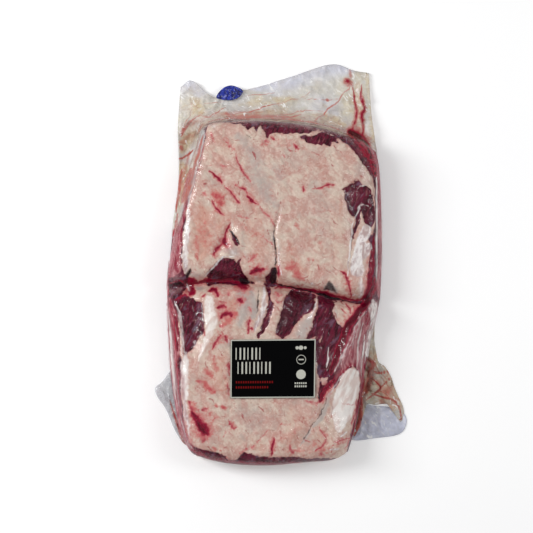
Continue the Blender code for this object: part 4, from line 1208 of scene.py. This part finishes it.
# Juice run into the folds: orange-brown where weak, crimson where strong.
JUICE = [
    ([(-92, 170), (-102, 163), (-111, 152), (-114, 146)], 0.8, 2, 0.52),
    ([(-92, 170), (-84, 166), (-77, 169), (-70, 172), (-62, 177)], 0.7, 0.6, 0.5),
    ([(-62, 171), (-51, 166)], 2.6, 3, 0.35),
    ([(-46, 171), (-30, 174), (-22, 178), (-1, 183)], 0.6, 0.6, 0.55),
    ([(-43, 191), (-22, 192), (-7, 195)], 0.5, 0.5, 0.42),
    ([(-63, 184), (-75, 182), (-88, 182)], 0.5, 0.5, 0.34),
    ([(-58, 166), (-35, 167), (-1, 166)], 2.6, 2.6, 0.34),
    ([(-114, 150), (-103, 142), (-92, 150), (-85, 154)], 4, 4, 0.16),
    ([(-82, 158), (-46, 164), (10, 162), (58, 153), (78, 146)], 1.7, 1.7, 0.42),
    ([(-82, 160), (-63, 163), (-46, 161), (-35, 160)], 0.8, 0.8, 0.6),
    ([(-57, 164), (-20, 166), (10, 166), (24, 170)], 0.7, 0.7, 0.55),
    ([(81, 204), (72, 195), (64, 184), (49, 172), (35, 159)], 0.8, 0.7, 0.5),
    ([(74, 210), (76, 207), (81, 204)], 3.6, 3, 0.8), ([(78, 222), (79, 213)], 2.4, 2, 0.4),
    ([(82, 203), (83, 190), (84, 180), (85, 171), (83, 159), (79, 147)], 0.9, 2.4, 0.86),
    ([(92, 204), (91, 195), (92, 186), (95, 177), (91, 170), (92, 159), (93, 145)], 1.2, 2.6, 0.92),
    ([(77, 149), (84, 145), (91, 138), (97, 130)], 6.6, 5.6, 1.45),
    ([(86, 205), (87, 180), (88, 150)], 7, 6, 0.16),
    ([(82, 141), (91, 132), (98, 122), (102, 111), (104, 98)], 5.4, 4.8, 1.42),
    ([(-101, 184), (-103, 170), (-110, 158)], 0.5, 0.6, 0.34),
    ([(-94, 172), (-98, 152), (-100, 138)], 4, 4, 0.14),
    ([(-112, 158), (-100, 161), (-84, 167)], 3.4, 3, 0.24),
    ([(-78, 168), (-50, 171), (-20, 172)], 2.2, 2.2, 0.22),
    ([(-58, 163), (-20, 164), (20, 163), (56, 154), (74, 148)], 1.6, 1.2, 0.24),
    ([(-7, 179), (10, 186), (27, 191), (35, 197)], 0.5, 0.5, 0.36),
    ([(-7, 168), (8, 169), (17, 172), (26, 174), (46, 173)], 0.5, 0.6, 0.4),
    ([(27, 188), (53, 187), (66, 188)], 0.6, 0.6, 0.45), ([(53, 187), (54, 187)], 1.4, 1.4, 0.9),
    ([(-116, 118), (-108, 122), (-99, 129)], 1.2, 1, 0.7),
    ([(-101, 104), (-105, 86), (-110, 68)], 4.8, 4, 0.5), ([(-104, 96), (-107, 84)], 2, 2, 0.78),
    ([(-90, 146), (-96, 126), (-103, 108)], 2.2, 2.6, 0.22),
    ([(-118, 96), (-117, 76), (-118, 58)], 1.2, 1, 0.62),
    ([(-115, 135), (-112, 130)], 2.4, 2, 0.45),
    ([(-87, 142), (-92, 122), (-97, 102), (-103, 80), (-108, 60)], 2.4, 2.6, 0.4),
    ([(-104, 128), (-108, 108), (-112, 88)], 2, 2, 0.3),
    ([(-99, -206), (-80, -214), (-50, -219)], 2.4, 2.2, 0.52),
    ([(-50, -219), (-10, -221), (40, -219)], 1.6, 1.6, 0.52),
    ([(-112, 106), (-115, 92), (-117, 75), (-119, 64)], 3.4, 3, 0.44),
    ([(-104, 148), (-110, 141), (-116, 138)], 3, 2.6, 0.26),
    ([(-119, 38), (-120, 30)], 2.6, 2.2, 0.9),
    ([(-116, 56), (-118, 30), (-120, 4), (-124, -18)], 2.4, 3, 0.5),
    ([(-112, 40), (-113, 10), (-113, -14)], 1.2, 1.4, 0.45),
    ([(-127, 4), (-128, -15), (-126, -36), (-127, -52)], 1.6, 1.2, 0.95),
    ([(-124, -22), (-112, -20), (-104, -26)], 0.8, 0.8, 0.8),
    ([(-120, -50), (-117.5, -84), (-115.5, -108), (-113, -145)], 0.9, 0.9, 0.85),
    ([(-128, -44), (-127, -70), (-125, -96)], 0.8, 0.6, 0.6),
    ([(-110, -112), (-108, -150)], 2.2, 2, 0.34),
    ([(-108, -170), (-103, -194), (-92, -208)], 1.2, 1.2, 0.5),
    ([(-118, -130), (-114, -168), (-105, -198)], 0.9, 1.1, 0.62),
    ([(90, -56), (97, -62), (93, -69), (98, -74)], 0.7, 0.7, 0.7),
    ([(103, -16), (103, -28), (98, -40)], 2.6, 2.6, 0.72),
    ([(92, -108), (90, -147), (87, -175)], 1.6, 1.6, 0.5),
    ([(98, -60), (96, -84), (91, -108)], 1, 1, 0.36),
]
# Yellow-brown dried juice.
AMBER = [
    ([(-112, 181), (-101, 177), (-92, 172)], 8, 9, 0.55), ([(-103, 188), (-94, 183)], 5, 6, 0.45),
    ([(-55, 166), (-24, 167), (10, 165), (55, 163), (72, 158)], 6, 6, 0.62),
    ([(-46, 181), (-13, 186), (21, 188)], 5, 5, 0.4),
    ([(98, 217), (99, 202), (99, 188)], 3, 3, 0.45),
    ([(102, 181), (105, 165), (109, 147)], 6, 5, 0.5),
    ([(-113, 128), (-106, 142), (-98, 150)], 6, 6, 0.55),
    ([(-113, 112), (-108, 92), (-113, 66)], 6, 6, 0.75),
    ([(88, 204), (87, 180), (86, 150)], 9, 8, 0.5), ([(102, 160), (104, 140)], 5, 4, 0.55),
    ([(20, 192), (50, 178)], 5, 6, 0.3), ([(-126, -60), (-124, -90), (-121, -112)], 1.6, 1.6, 0.55),
    ([(-119, -120), (-115, -160), (-107, -194)], 2.6, 2.6, 0.6),
    ([(-100, -204), (-84, -214), (-64, -220)], 2, 2, 0.4),
    ([(106, -44), (104, -80), (100, -104)], 3, 3.4, 0.3),
    ([(105.7, 90), (105.7, 20), (105, -20)], 1.4, 1.4, 0.45),
]
FILM_MARKS = {"haze_and_glare": HAZE_AND_GLARE, "clean": CLEAN, "juice": JUICE, "amber": AMBER}


def film_lift(x, y, inside):
    """Wrinkles on the film, never below it: tension lines, side pleats and the tail's crumple."""
    tail = ramp(-inside, 0.001, 0.012) * ramp(y, 0.130, 0.158)
    slope = np.exp(-((inside - 0.006) / 0.010) ** 2) * (1.0 - tail)
    diagonal = crumple(x * 1.6 + y * 0.8, y * 0.5 - x * 0.3, 0.011, 71)
    lines = crumple(x * 0.5 - y * 0.25, y * 1.5 + x * 0.9, 0.010, 72)
    lift = TENSION_WRINKLE * (diagonal + lines)
    pleats = crumple(x * 0.35, y * 1.3, 0.0085, 73) + 0.5 * crumple(x * 0.4, y * 1.2, 0.004, 74)
    ends = crumple(x * 1.3, y * 0.35, 0.0085, 75)
    at_end = ramp(-y, 0.195, 0.210)
    lift += PLEAT_HEIGHT * slope * (pleats * (1 - at_end) + ends * at_end)
    lift += tail * (TAIL_CRUMPLE[0] * crumple(x, y, 0.021, 76)
                    + TAIL_CRUMPLE[1] * crumple(x, y, 0.009, 77))
    return lift


def build_film(material):
    """The bag: three patches from south to north, a short undercut, a flat underside."""
    across = crowded(FILM_COLUMNS - 1, FILM_CROWDING[0])
    lower, upper, flat_tail = (
        patch(*map(dense_curve, edges), across, crowded(rows, crowding))
        for rows, crowding, *edges in (
            (FILM_ROWS_LOWER, FILM_CROWDING[1], SOUTH_EDGE, SEAM, WEST_EDGE_LOWER, EAST_EDGE_LOWER),
            (FILM_ROWS_UPPER, FILM_CROWDING[1], SEAM, SLAB_END, WEST_EDGE_UPPER, EAST_EDGE_UPPER),
            (FILM_ROWS_TAIL, 0.0, SLAB_END, NORTH_EDGE, WEST_EDGE_TAIL, EAST_EDGE_TAIL)))
    plan = np.concatenate([lower, upper[1:], flat_tail[1:]])
    x, y = plan[..., 0], plan[..., 1]
    height, inside = pack_height(x, y)
    fat = np.where(inside > 0.0, fat_cover(x, y), 1.0)
    cuts = painted(x, y, SHADE)
    follow = ramp(inside, -0.001, 0.003)
    sunk = soft_relief(x, y, fat) + CUT_FOLLOWED * RELIEF_CUT * cuts
    height = height - RELIEF_FOLLOWED * follow * sunk + film_lift(x, y, inside)
    top = np.dstack([plan, height])
    rows, columns = height.shape
    rim = top.reshape(-1, 3)[edge_loop(rows, columns)]
    rings = [rim * (share, share, drop) for share, drop in FILM_UNDERCUT]
    rings += [np.column_stack([rim[:, :2] * share, np.full(len(rim), FILM_UNDERSIDE)])
              for share in FILM_BOTTOM_SHARES]
    points, faces = ringed_body(top, rings)
    beyond = y - np.interp(x, SLAB_END_LINE[:, 0], SLAB_END_LINE[:, 1])
    beyond -= TAIL_LATE * ramp(x, *TAIL_LATE_EAST)
    tail = ramp(-inside, *TAIL_OUTSIDE) * ramp(beyond, *TAIL_BEYOND)
    spread = 0.5 + 0.5 * rough_field(x, y, 0.018, 81)
    u, v = wander(x, y, FILM_WANDER)
    still = 1.0 - EDGE_STILLNESS * np.exp(-((inside - 0.001) / EDGE_WIDTH) ** 2)
    u, v = x + (u - x) * still, y + (v - y) * still
    marks = {key: painted(u, v, listed) for key, listed in FILM_MARKS.items()}
    marks["haze_and_glare"] = np.maximum(marks["haze_and_glare"], FILM_HAZE * ramp(-inside, 0.001, 0.010))
    marks["haze_and_glare"] = np.maximum(marks["haze_and_glare"], tail * (TAIL_HAZE + TAIL_HAZE_CHANGE * spread))
    marks["amber"] = np.maximum(marks["amber"] * (0.55 + 0.6 * spread), 0.22 * tail * spread)
    marks["tail"] = np.maximum(tail, area_mask(u, v, WEST_SLACK, 5.0))
    marks["brink"] = tail * np.exp(-(np.maximum(-inside, 0.0) / TAIL_BRINK) ** 2)
    marks["off"] = np.maximum(-inside, -0.008)
    values = {}
    for key, mark in marks.items():
        values[key] = np.full(len(points), FILM_HAZE if key == "haze_and_glare" else 0.0)
        values[key][:x.size] = mark.ravel()
        edge = mark.ravel()[edge_loop(rows, columns)]
        edge = np.mean([np.roll(edge, k) for k in range(-5, 6)], axis=0)
        wall = slice(x.size, x.size + len(FILM_UNDERCUT) * len(rim))
        values[key][wall] = np.outer(WALL_FADE, edge).ravel()
    return add_piece("film_wrap", points, faces, material, values)


def film_material():
    """Clear shrink film: see-through with a gloss that strengthens at a glance, and a milky
    share, grey-blue where clean, tan or red-brown where juice has dried in it."""
    look = Look("shrink_film")
    fine = look.noise(260.0, 3.0, 0.8, 3.0, 72.0)
    cross = look.noise(210.0, 2.0, 1.0, 2.6, -42.0)
    haze_and_glare, clean, juice, amber, tail, brink, off = (look.attribute(key) for key in (
        "haze_and_glare", "clean", "juice", "amber", "tail", "brink", "off"))
    creased = look.noise(95.0, 3.0, 1.2)
    creased = look.maths("ABSOLUTE", look.maths("SUBTRACT", creased, 0.5))
    height = look.times(look.maths("ADD", fine, cross), 1.3)
    height = look.maths("MULTIPLY_ADD", look.times(tail, -8.0), creased, height)
    normal = look.bump(height, 0.34, 0.0007)
    broken = look.span(look.noise(90.0, 3.0, 0.7), 0.30, 0.70, 0.74, 1.12)
    mottle = look.span(look.noise(190.0, 4.0, 1.0), 0.42, 0.58, 0.60, 1.0)
    slack = look.maths("ADD", mottle, tail, clamp=True)
    stain = look.times(look.times(juice, slack), broken)
    tan = look.times(amber, broken)
    # slack film: lilac where it stands clear, faintly yellow where it has lain on the meat
    milk = look.span(look.noise(26.0, 2.0, 0.4), 0.40, 0.60)
    milk = look.mix(milk, (212, 211, 208), (212, 206, 188))
    milk = look.mix(clean, milk, (208, 211, 229))
    # facets of the crumple: greyer ones, and paler ones that are painted light catching the folds
    calm = look.span(clean, 0.3, 1.0, 1.0, 0.5)
    facets = look.noise(85.0, 2.0, 1.4, 1.8, -50.0)
    for low, high, at_low, at_high, colour in ((0.40, 0.52, 0.42, 0.0, (186, 182, 178)),
                                               (0.54, 0.66, 0.0, 0.65, (240, 239, 237))):
        facet = look.span(facets, low, high, at_low, at_high)
        milk = look.mix(look.times(facet, calm), milk, colour)
    milk = look.mix(look.span(tan, 0.0, 0.5), milk, (206, 190, 158))
    milk = look.mix(look.span(tan, 0.5, 1.0), milk, (184, 140, 112))
    threads = lines_of(look, look.noise(120.0, 3.0, 1.0, 2.8, 9.0), 0.036)
    threads = look.times(threads, look.span(tan, 0.08, 0.40, 0.0, 0.55))
    milk = look.mix(threads, milk, (172, 112, 90))
    # film drawn off the slab's end: brown, in lines that keep along the meat
    where = look.add("SeparateXYZ", {"Vector": look.here}).outputs
    drawn = look.add("CombineXYZ", {"X": look.times(where["X"], 0.22), "Y": off})
    bands = look.noise(260.0, 3.0, 0.8, where=drawn.outputs[0])
    milk = look.lay(milk, brink, 0.75, (178, 150, 134))
    red_lines = look.times(lines_of(look, bands, 0.05), brink)
    milk = look.lay(milk, red_lines, 0.85, (138, 70, 64))
    pale_lines = look.times(look.span(bands, 0.58, 0.68), brink)
    milk = look.lay(milk, pale_lines, 0.75, (222, 208, 190))
    # film on the sides: faintly rosy, with painted glare that turns it white where the lamps glance
    # off it
    rosy = look.mix(look.span(haze_and_glare, 0.25, 0.70), (204, 156, 160), (238, 232, 229))
    milk = look.mix(tail, rosy, milk)
    weak = look.mix(tail, (166, 60, 78), (182, 100, 86))
    milk = look.mix(look.span(stain, 0.05, 0.45), milk, weak)
    glints = look.span(look.noise(240.0, 2.0, 0.6, 2.0, -58.0), 0.60, 0.68, 0.0, 0.90)
    crowds = look.span(look.noise(34.0, 2.0), 0.46, 0.60)
    glints = look.times(glints, look.times(tail, crowds))
    milk = look.mix(glints, milk, (253, 253, 251))
    milk = look.mix(look.span(stain, 0.42, 0.85), milk, (146, 18, 44))
    milk = look.mix(look.span(stain, 0.90, 1.15), milk, (76, 2, 16))
    veil = look.span(look.noise(260.0, 3.0, 0.6, 4.0, 90.0), 0.36, 0.60, 0.45, 1.0)
    veil = look.maths("ADD", veil, tail, clamp=True)
    share = look.times(look.times(haze_and_glare, veil), broken)
    share = look.maths("MAXIMUM", share, look.span(stain, 0.08, 0.80, 0.0, 0.985))
    share = look.maths("MAXIMUM", share, look.times(tan, 0.62))
    gloss = look.add("BsdfGlossy", {"Color": (1.0, 1.0, 1.0, 1.0), "Roughness": 0.10,
                                    "Normal": normal})
    clear = look.add("BsdfTransparent")
    aslant = look.add("LayerWeight", {"Blend": 0.5, "Normal": normal}).outputs["Facing"]
    glance = look.times(look.maths("POWER", aslant, 5.0), 0.13)
    glance = look.maths("ADD", glance, 0.020, clamp=True)
    pane = look.add("MixShader", {0: glance, 1: clear.outputs[0], 2: gloss.outputs[0]})
    body = look.principled(milk, 0.16, {"IOR": 1.40, "Normal": normal,
                                        "Specular IOR Level": 0.22})
    return look.done(look.add("MixShader", {0: share, 1: pane.outputs[0], 2: body.outputs[0]}))


FILM = film_material()
film_wrap = build_film(FILM)
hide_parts("vacuum_bag")

# ------------------------------------------------------------------ the bag's loose corners
# Where the bag is wider than the meat its corners lie crumpled on the table: an amber fold and
# a clear corner on the right, and a small clear corner on the left.

CORNER_RINGS, CORNER_AROUND = 34, 120
CORNER_LIFT = 0.0004
CORNER_THICKNESS, CORNER_LEAST = 0.0009, 0.0004
# Outlines in millimetres, then each corner's crown and its haze, clean, amber, juice, seed.
CORNERS = {
    "corner_east_clear": ([(84, -150), (100, -158), (120, -160), (136, -166), (141, -175),
                           (138, -186), (129, -192), (108, -195), (80, -197), (76, -180)],
                          0.0046, 0.88, 1.0, 0.0, 0.0, 91),
    "corner_east_fold": ([(92, -84), (98, -62), (105, -66), (105, -84), (107, -98), (110, -110),
                          (117, -115), (124, -127), (127, -137), (132, -149), (137, -160),
                          (138, -172), (134, -178), (127, -163), (118, -157), (106, -158),
                          (96, -158), (90, -176), (82, -194), (78, -186), (82, -164),
                          (86, -130)],
                         0.0105, 0.80, 0.0, 0.34, 0.18, 92),
    "corner_west": ([(-122, -119), (-134, -132), (-142, -139), (-139, -150), (-131, -161),
                     (-125, -174), (-120, -186), (-111, -200), (-102, -204), (-102, -192),
                     (-107, -170), (-113, -140)],
                    0.0070, 0.40, 0.75, 0.10, 0.04, 93),
}
# Juice along the corners' creases.
CORNER_CREASES = [
    ([(95, -112), (102, -119), (109, -122), (123, -120)], 1, 1, 0.7),
    ([(102, -128), (111, -137), (109, -142), (94, -153)], 1, 1, 0.7),
    ([(101, -145), (113, -149), (126, -153), (133, -162), (135, -176)], 1, 0.8, 0.75),
    ([(111, -139), (124, -127)], 0.6, 0.6, 0.6),
    ([(96, -104), (101, -116), (99, -130), (93, -150)], 4.6, 3, 0.5),
    ([(96, -106), (103, -112), (98, -122)], 2.4, 2.4, 0.66),
    ([(104, -104), (108, -118), (118, -128)], 0.5, 0.5, 0.45),
    ([(108, -142), (118, -146), (124, -158)], 0.5, 0.5, 0.45),
    ([(112, -126), (121, -138), (129, -152)], 0.5, 0.5, 0.4),
    ([(93, -130), (90, -147), (88, -175), (82, -192)], 2.4, 2, 0.7),
    ([(-125, -153), (-120, -170), (-115, -184), (-110, -200), (-106, -206)], 1.8, 1.6, 0.7),
    ([(-114, -136), (-112, -164), (-108, -187)], 1.4, 1.2, 0.4),
]


def ball_plan(outline, rings, around):
    """Rings of plan points from an outline's middle out to it, and a ball's swell at each."""
    rim = at_shares(dense_curve(outline, closed=True), np.arange(around) / around)
    following = np.roll(rim, -1, axis=0)
    if (rim[:, 0] * following[:, 1] - rim[:, 1] * following[:, 0]).sum() < 0:
        rim = rim[::-1]                # so that it runs anticlockwise
    middle = rim.mean(axis=0)
    out = np.linspace(0.01, 1.0, rings)
    return middle + (rim - middle)[None] * out[:, None, None], (1.0 - out ** 2)[:, None]


def ball_body(plan, upper, lower):
    """Points and faces of a flattened ball: rings out to the rim above, and back in below."""
    rings, around = plan.shape[:2]
    points = np.vstack([np.dstack([plan, upper])[::-1].reshape(-1, 3),
                        np.dstack([plan, lower]).reshape(-1, 3)])
    return points, [face[::-1] for face in tube_faces(2 * rings, around, 0)]


def build_corner(name, outline, crown, haze_and_glare, clean, amber, juice, seed, material):
    """A crumpled corner of the bag; where it is amber its folds run in and juice fills them."""
    plan, swell = ball_plan(outline, CORNER_RINGS, CORNER_AROUND)
    x, y = plan[..., 0], plan[..., 1]
    folds = (0.55 * crumple(x, y, 0.017, seed) + 0.30 * crumple(x * 1.4, y * 0.8, 0.010, seed + 3)
             + 0.15 * crumple(x, y, 0.005, seed + 5))
    is_amber = amber > 0.2
    if is_amber:
        folds = 0.62 - folds
    upper = CORNER_LIFT + CORNER_THICKNESS + crown * (0.35 * swell + 0.85 * folds * swell ** 0.5)
    upper = np.maximum(upper, CORNER_LIFT + CORNER_LEAST)
    points, faces = ball_body(plan, upper, np.full(x.shape, CORNER_LIFT))
    px, py = points[:, 0], points[:, 1]
    spread = 0.5 + 0.5 * rough_field(px, py, 0.012, seed + 9)
    valleys = crumple(px, py, 0.017, seed) * (0.4 + 0.6 * spread)
    above = np.arange(len(points)) < x.size
    values = {"haze_and_glare": haze_and_glare * (0.60 + 0.4 * spread + 0.4 * valleys) * (0.15 + 0.85 * above),
              "clean": np.full(len(points), clean),
              "amber": amber * (0.5 + 0.7 * spread) * above,
              "juice": np.maximum(juice * spread + is_amber * 0.42 * valleys ** 2,
                                  painted(px, py, CORNER_CREASES)) * above,
              "tail": np.ones(len(points))}
    return add_piece(name, points, faces, material, values)


for name, form in CORNERS.items():
    corner = build_corner(name, *form, FILM)

# ------------------------------------------------------------------ the label
# A black paper label with a pale border, laid on the film over the lower slab. Its print is
# plain: pale bars, two rows of red dashes, and three simple marks down its right side.

LABEL_CORNERS = [(-56.2, -149.0), (36.5, -148.5), (37.5, -84.2), (-56.0, -85.0)]
LABEL_THICKNESS = 0.0005
TOUCH_GAP = 0.0003
TOUCH_REACH = 0.004
LABEL_COLUMNS, LABEL_ROWS = 94, 66
BORDER = 1.4                   # millimetres
PAPER_EDGE = 0.2               # millimetres of black outside the border
INK = 0.00006                  # how far the print stands on the label

label_south_west, label_south_east, label_north_east, label_north_west = (
    np.array(LABEL_CORNERS) * MM)
LABEL_WIDTH = float(np.linalg.norm(label_south_east - label_south_west)) / MM
LABEL_HEIGHT = float(np.linalg.norm(label_north_west - label_south_west)) / MM


def on_label(u, v):
    """Plan place u mm right and v mm up from the label's lower left corner."""
    s, t = (u / LABEL_WIDTH)[..., None], (v / LABEL_HEIGHT)[..., None]
    return ((1 - t) * ((1 - s) * label_south_west + s * label_south_east)
            + t * ((1 - s) * label_north_west + s * label_north_east))


def label_height(plan):
    """The bag's highest point within a small reach, plus the gap that touching pieces keep."""
    x, y = plan[..., 0], plan[..., 1]
    highest = pack_height(x, y)[0]
    for turn in np.radians(range(0, 360, 60)):
        there = pack_height(x + TOUCH_REACH * np.cos(turn), y + TOUCH_REACH * np.sin(turn))[0]
        highest = np.maximum(highest, there)
    return highest + TOUCH_GAP


LABEL_U, LABEL_V = np.meshgrid(np.linspace(0.0, LABEL_WIDTH, LABEL_COLUMNS),
                               np.linspace(0.0, LABEL_HEIGHT, LABEL_ROWS))
LABEL_GRID = label_height(on_label(LABEL_U, LABEL_V))


def label_top(u, v):
    """Height of the label's upper face, read between the points of its own grid."""
    column = np.clip(u / LABEL_WIDTH, 0, 1) * (LABEL_COLUMNS - 1.001)
    row = np.clip(v / LABEL_HEIGHT, 0, 1) * (LABEL_ROWS - 1.001)
    i, j = row.astype(int), column.astype(int)
    a, b = row - i, column - j
    low = LABEL_GRID[i, j] * (1 - b) + LABEL_GRID[i, j + 1] * b
    high = LABEL_GRID[i + 1, j] * (1 - b) + LABEL_GRID[i + 1, j + 1] * b
    return low * (1 - a) + high * a + LABEL_THICKNESS


def sheet_body(u, v, above, below):
    """A thin body over label places u, v, between two heights measured from its face."""
    plan, face = on_label(u, v), label_top(u, v)
    up, loop = grid_faces(*face.shape), edge_loop(*face.shape)
    points = [np.dstack([plan, face + lift]).reshape(-1, 3) for lift in (above, below)]
    faces = [up, up[:, ::-1] + face.size, wall_faces(loop, loop + face.size)]
    return np.vstack(points), np.vstack(faces)


def bar(left, low, right, high):
    """A rectangle of print, as places on the label."""
    return np.meshgrid(np.linspace(left, right, max(2, int(abs(right - left) / 2) + 2)),
                       np.linspace(low, high, max(2, int(abs(high - low) / 2) + 2)))


def disc(u, v, radius):
    """A round spot of print: a square grid eased into a circle."""
    a, b = np.meshgrid(np.linspace(-1, 1, 13), np.linspace(-1, 1, 13))
    return (u + radius * a * np.sqrt(1 - b * b / 2), v + radius * b * np.sqrt(1 - a * a / 2))


def ring(u, v, outer, inner):
    """A ring of print in two half turns that overlap by a hair."""
    halves = []
    for start in (0.0, math.pi):
        turn, radius = np.meshgrid(np.linspace(start + math.pi, start - 0.01, 25),
                                   np.array([inner, outer]))
        halves.append((u + radius * np.cos(turn), v + radius * np.sin(turn)))
    return halves


def print_piece(name, shapes, material):
    """All print of one colour as one piece."""
    points, faces, count = [], [], 0
    for u, v in shapes:
        body_points, body_faces = sheet_body(u, v, INK, -INK)
        points.append(body_points)
        faces.append(body_faces + count)
        count += len(body_points)
    piece = add_piece(name, np.vstack(points), np.vstack(faces), material)
    piece.data.shade_flat()
    return piece


def print_material(name, colour, roughness, speckle):
    """Printed paper or ink under a thin lacquer, with slight unevenness."""
    look = Look(name)
    worn = look.span(look.noise(700.0, 4.0), 0.55, 0.75, 0.0, speckle)
    tone = look.mix(worn, colour, tuple(min(255, c + 26) for c in colour))
    normal = look.bump(look.noise(120.0), 0.15, 0.0005)
    return look.done(look.principled(tone, roughness, {"Normal": normal,
                                                       "Specular IOR Level": 0.03}))


LABEL_BLACK = print_material("label_black", (3, 3, 4), 0.55, 0.12)
PRINT_PALE = print_material("print_pale", (186, 186, 176), 0.5, 0.6)
PRINT_RED = print_material("print_red", (112, 16, 16), 0.5, 0.4)

label = add_piece("label_sheet", *sheet_body(LABEL_U, LABEL_V, 0.0, -LABEL_THICKNESS), LABEL_BLACK,
                  sharp=40)
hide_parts("front_label")

right, top = LABEL_WIDTH - PAPER_EDGE, LABEL_HEIGHT - PAPER_EDGE
inner_right, inner_top = LABEL_WIDTH - BORDER, LABEL_HEIGHT - BORDER
pale = [bar(PAPER_EDGE, PAPER_EDGE, right, BORDER), bar(PAPER_EDGE, inner_top, right, top),
        bar(PAPER_EDGE, BORDER, BORDER, inner_top), bar(inner_right, BORDER, right, inner_top)]
# two headings as rows of upright bars: left end, pitch, how many, lowest and highest
for left, pitch, how_many, low, high in ((5.6, 4.3, 7, 42.0, 55.0), (7.8, 4.3, 9, 26.5, 39.5)):
    for k in range(how_many):
        wide = 1.7 if k % 3 else 1.1
        pale.append(bar(left + pitch * k, low, left + pitch * k + wide, high))
# marks down the right side: a row of dots, a ring with a bar, a disc, two dashed lines
pale += [disc(72.5, 54.5, 1.8), disc(76.6, 54.5, 2.4), disc(81.2, 54.5, 1.6)]
pale += ring(77.0, 41.6, 5.2, 4.6) + [bar(74.2, 41.0, 79.8, 42.4)]
pale += [disc(77.0, 25.5, 5.2)]
for row in (15.0, 11.6):
    pale += [bar(u, row, u + 1.5, row + 1.9) for u in np.arange(70.2, 83.6, 2.3)]
print_piece("label_print_pale", pale, PRINT_PALE)
red = [bar(u, 16.2, u + 1.5, 18.6) for u in np.arange(6.0, 46.5, 2.6)]
red += [bar(u, 10.6, u + 1.5, 13.0) for u in np.arange(6.0, 41.0, 2.6)]
print_piece("label_print_red", red, PRINT_RED)

# ------------------------------------------------------------------ the blue seal mark
# A crumpled scrap of printed blue film caught in the tail's edge, deep blue with painted shade
# in its folds and painted highlights on paler facets.

BLUE_PATCH = [(-73.5, 189), (-70, 196), (-64, 201.2), (-57, 203.2), (-50, 201.5), (-43.5, 197.5),
              (-45.2, 191.5), (-52, 187), (-61, 185.5), (-68, 186.8)]
BLUE_RINGS, BLUE_AROUND = 26, 80
BLUE_GAP, BLUE_THICKNESS = 0.0004, 0.0005
BLUE_CROWN = 0.0026


def blue_material():
    """Blue printed film: painted shade, navy, in the folds, and a painted highlight, pale violet,
    where a facet catches the light.
    """
    look = Look("blue_film")
    facets = look.noise(190.0, 3.0, 1.2)
    # painted shade: navy where the crumple sinks into folds
    colour = look.mix(look.span(facets, 0.36, 0.60), (3, 4, 78), (22, 44, 156))
    # painted highlights: pale violet where a facet would catch the light
    pale = look.span(look.noise(300.0, 4.0, 1.4), 0.58, 0.68)
    colour = look.mix(pale, colour, (130, 136, 208))
    return look.done(look.principled(colour, 0.2, {"Normal": look.bump(facets, 0.6, 0.001),
                                                   "Coat Weight": 0.4}))


plan, swell = ball_plan(BLUE_PATCH, BLUE_RINGS, BLUE_AROUND)
x, y = plan[..., 0], plan[..., 1]
height, inside = pack_height(x, y)
rest = height + film_lift(x, y, inside).max() + BLUE_GAP
folds = 0.6 * crumple(x, y, 0.008, 101) + 0.4 * crumple(x, y, 0.004, 102)
upper = rest + BLUE_THICKNESS + BLUE_CROWN * (0.25 * swell + folds * swell ** 0.5)
blue_seal = add_piece("blue_seal", *ball_body(plan, upper, rest), blue_material())
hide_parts("blue_seal_patch")
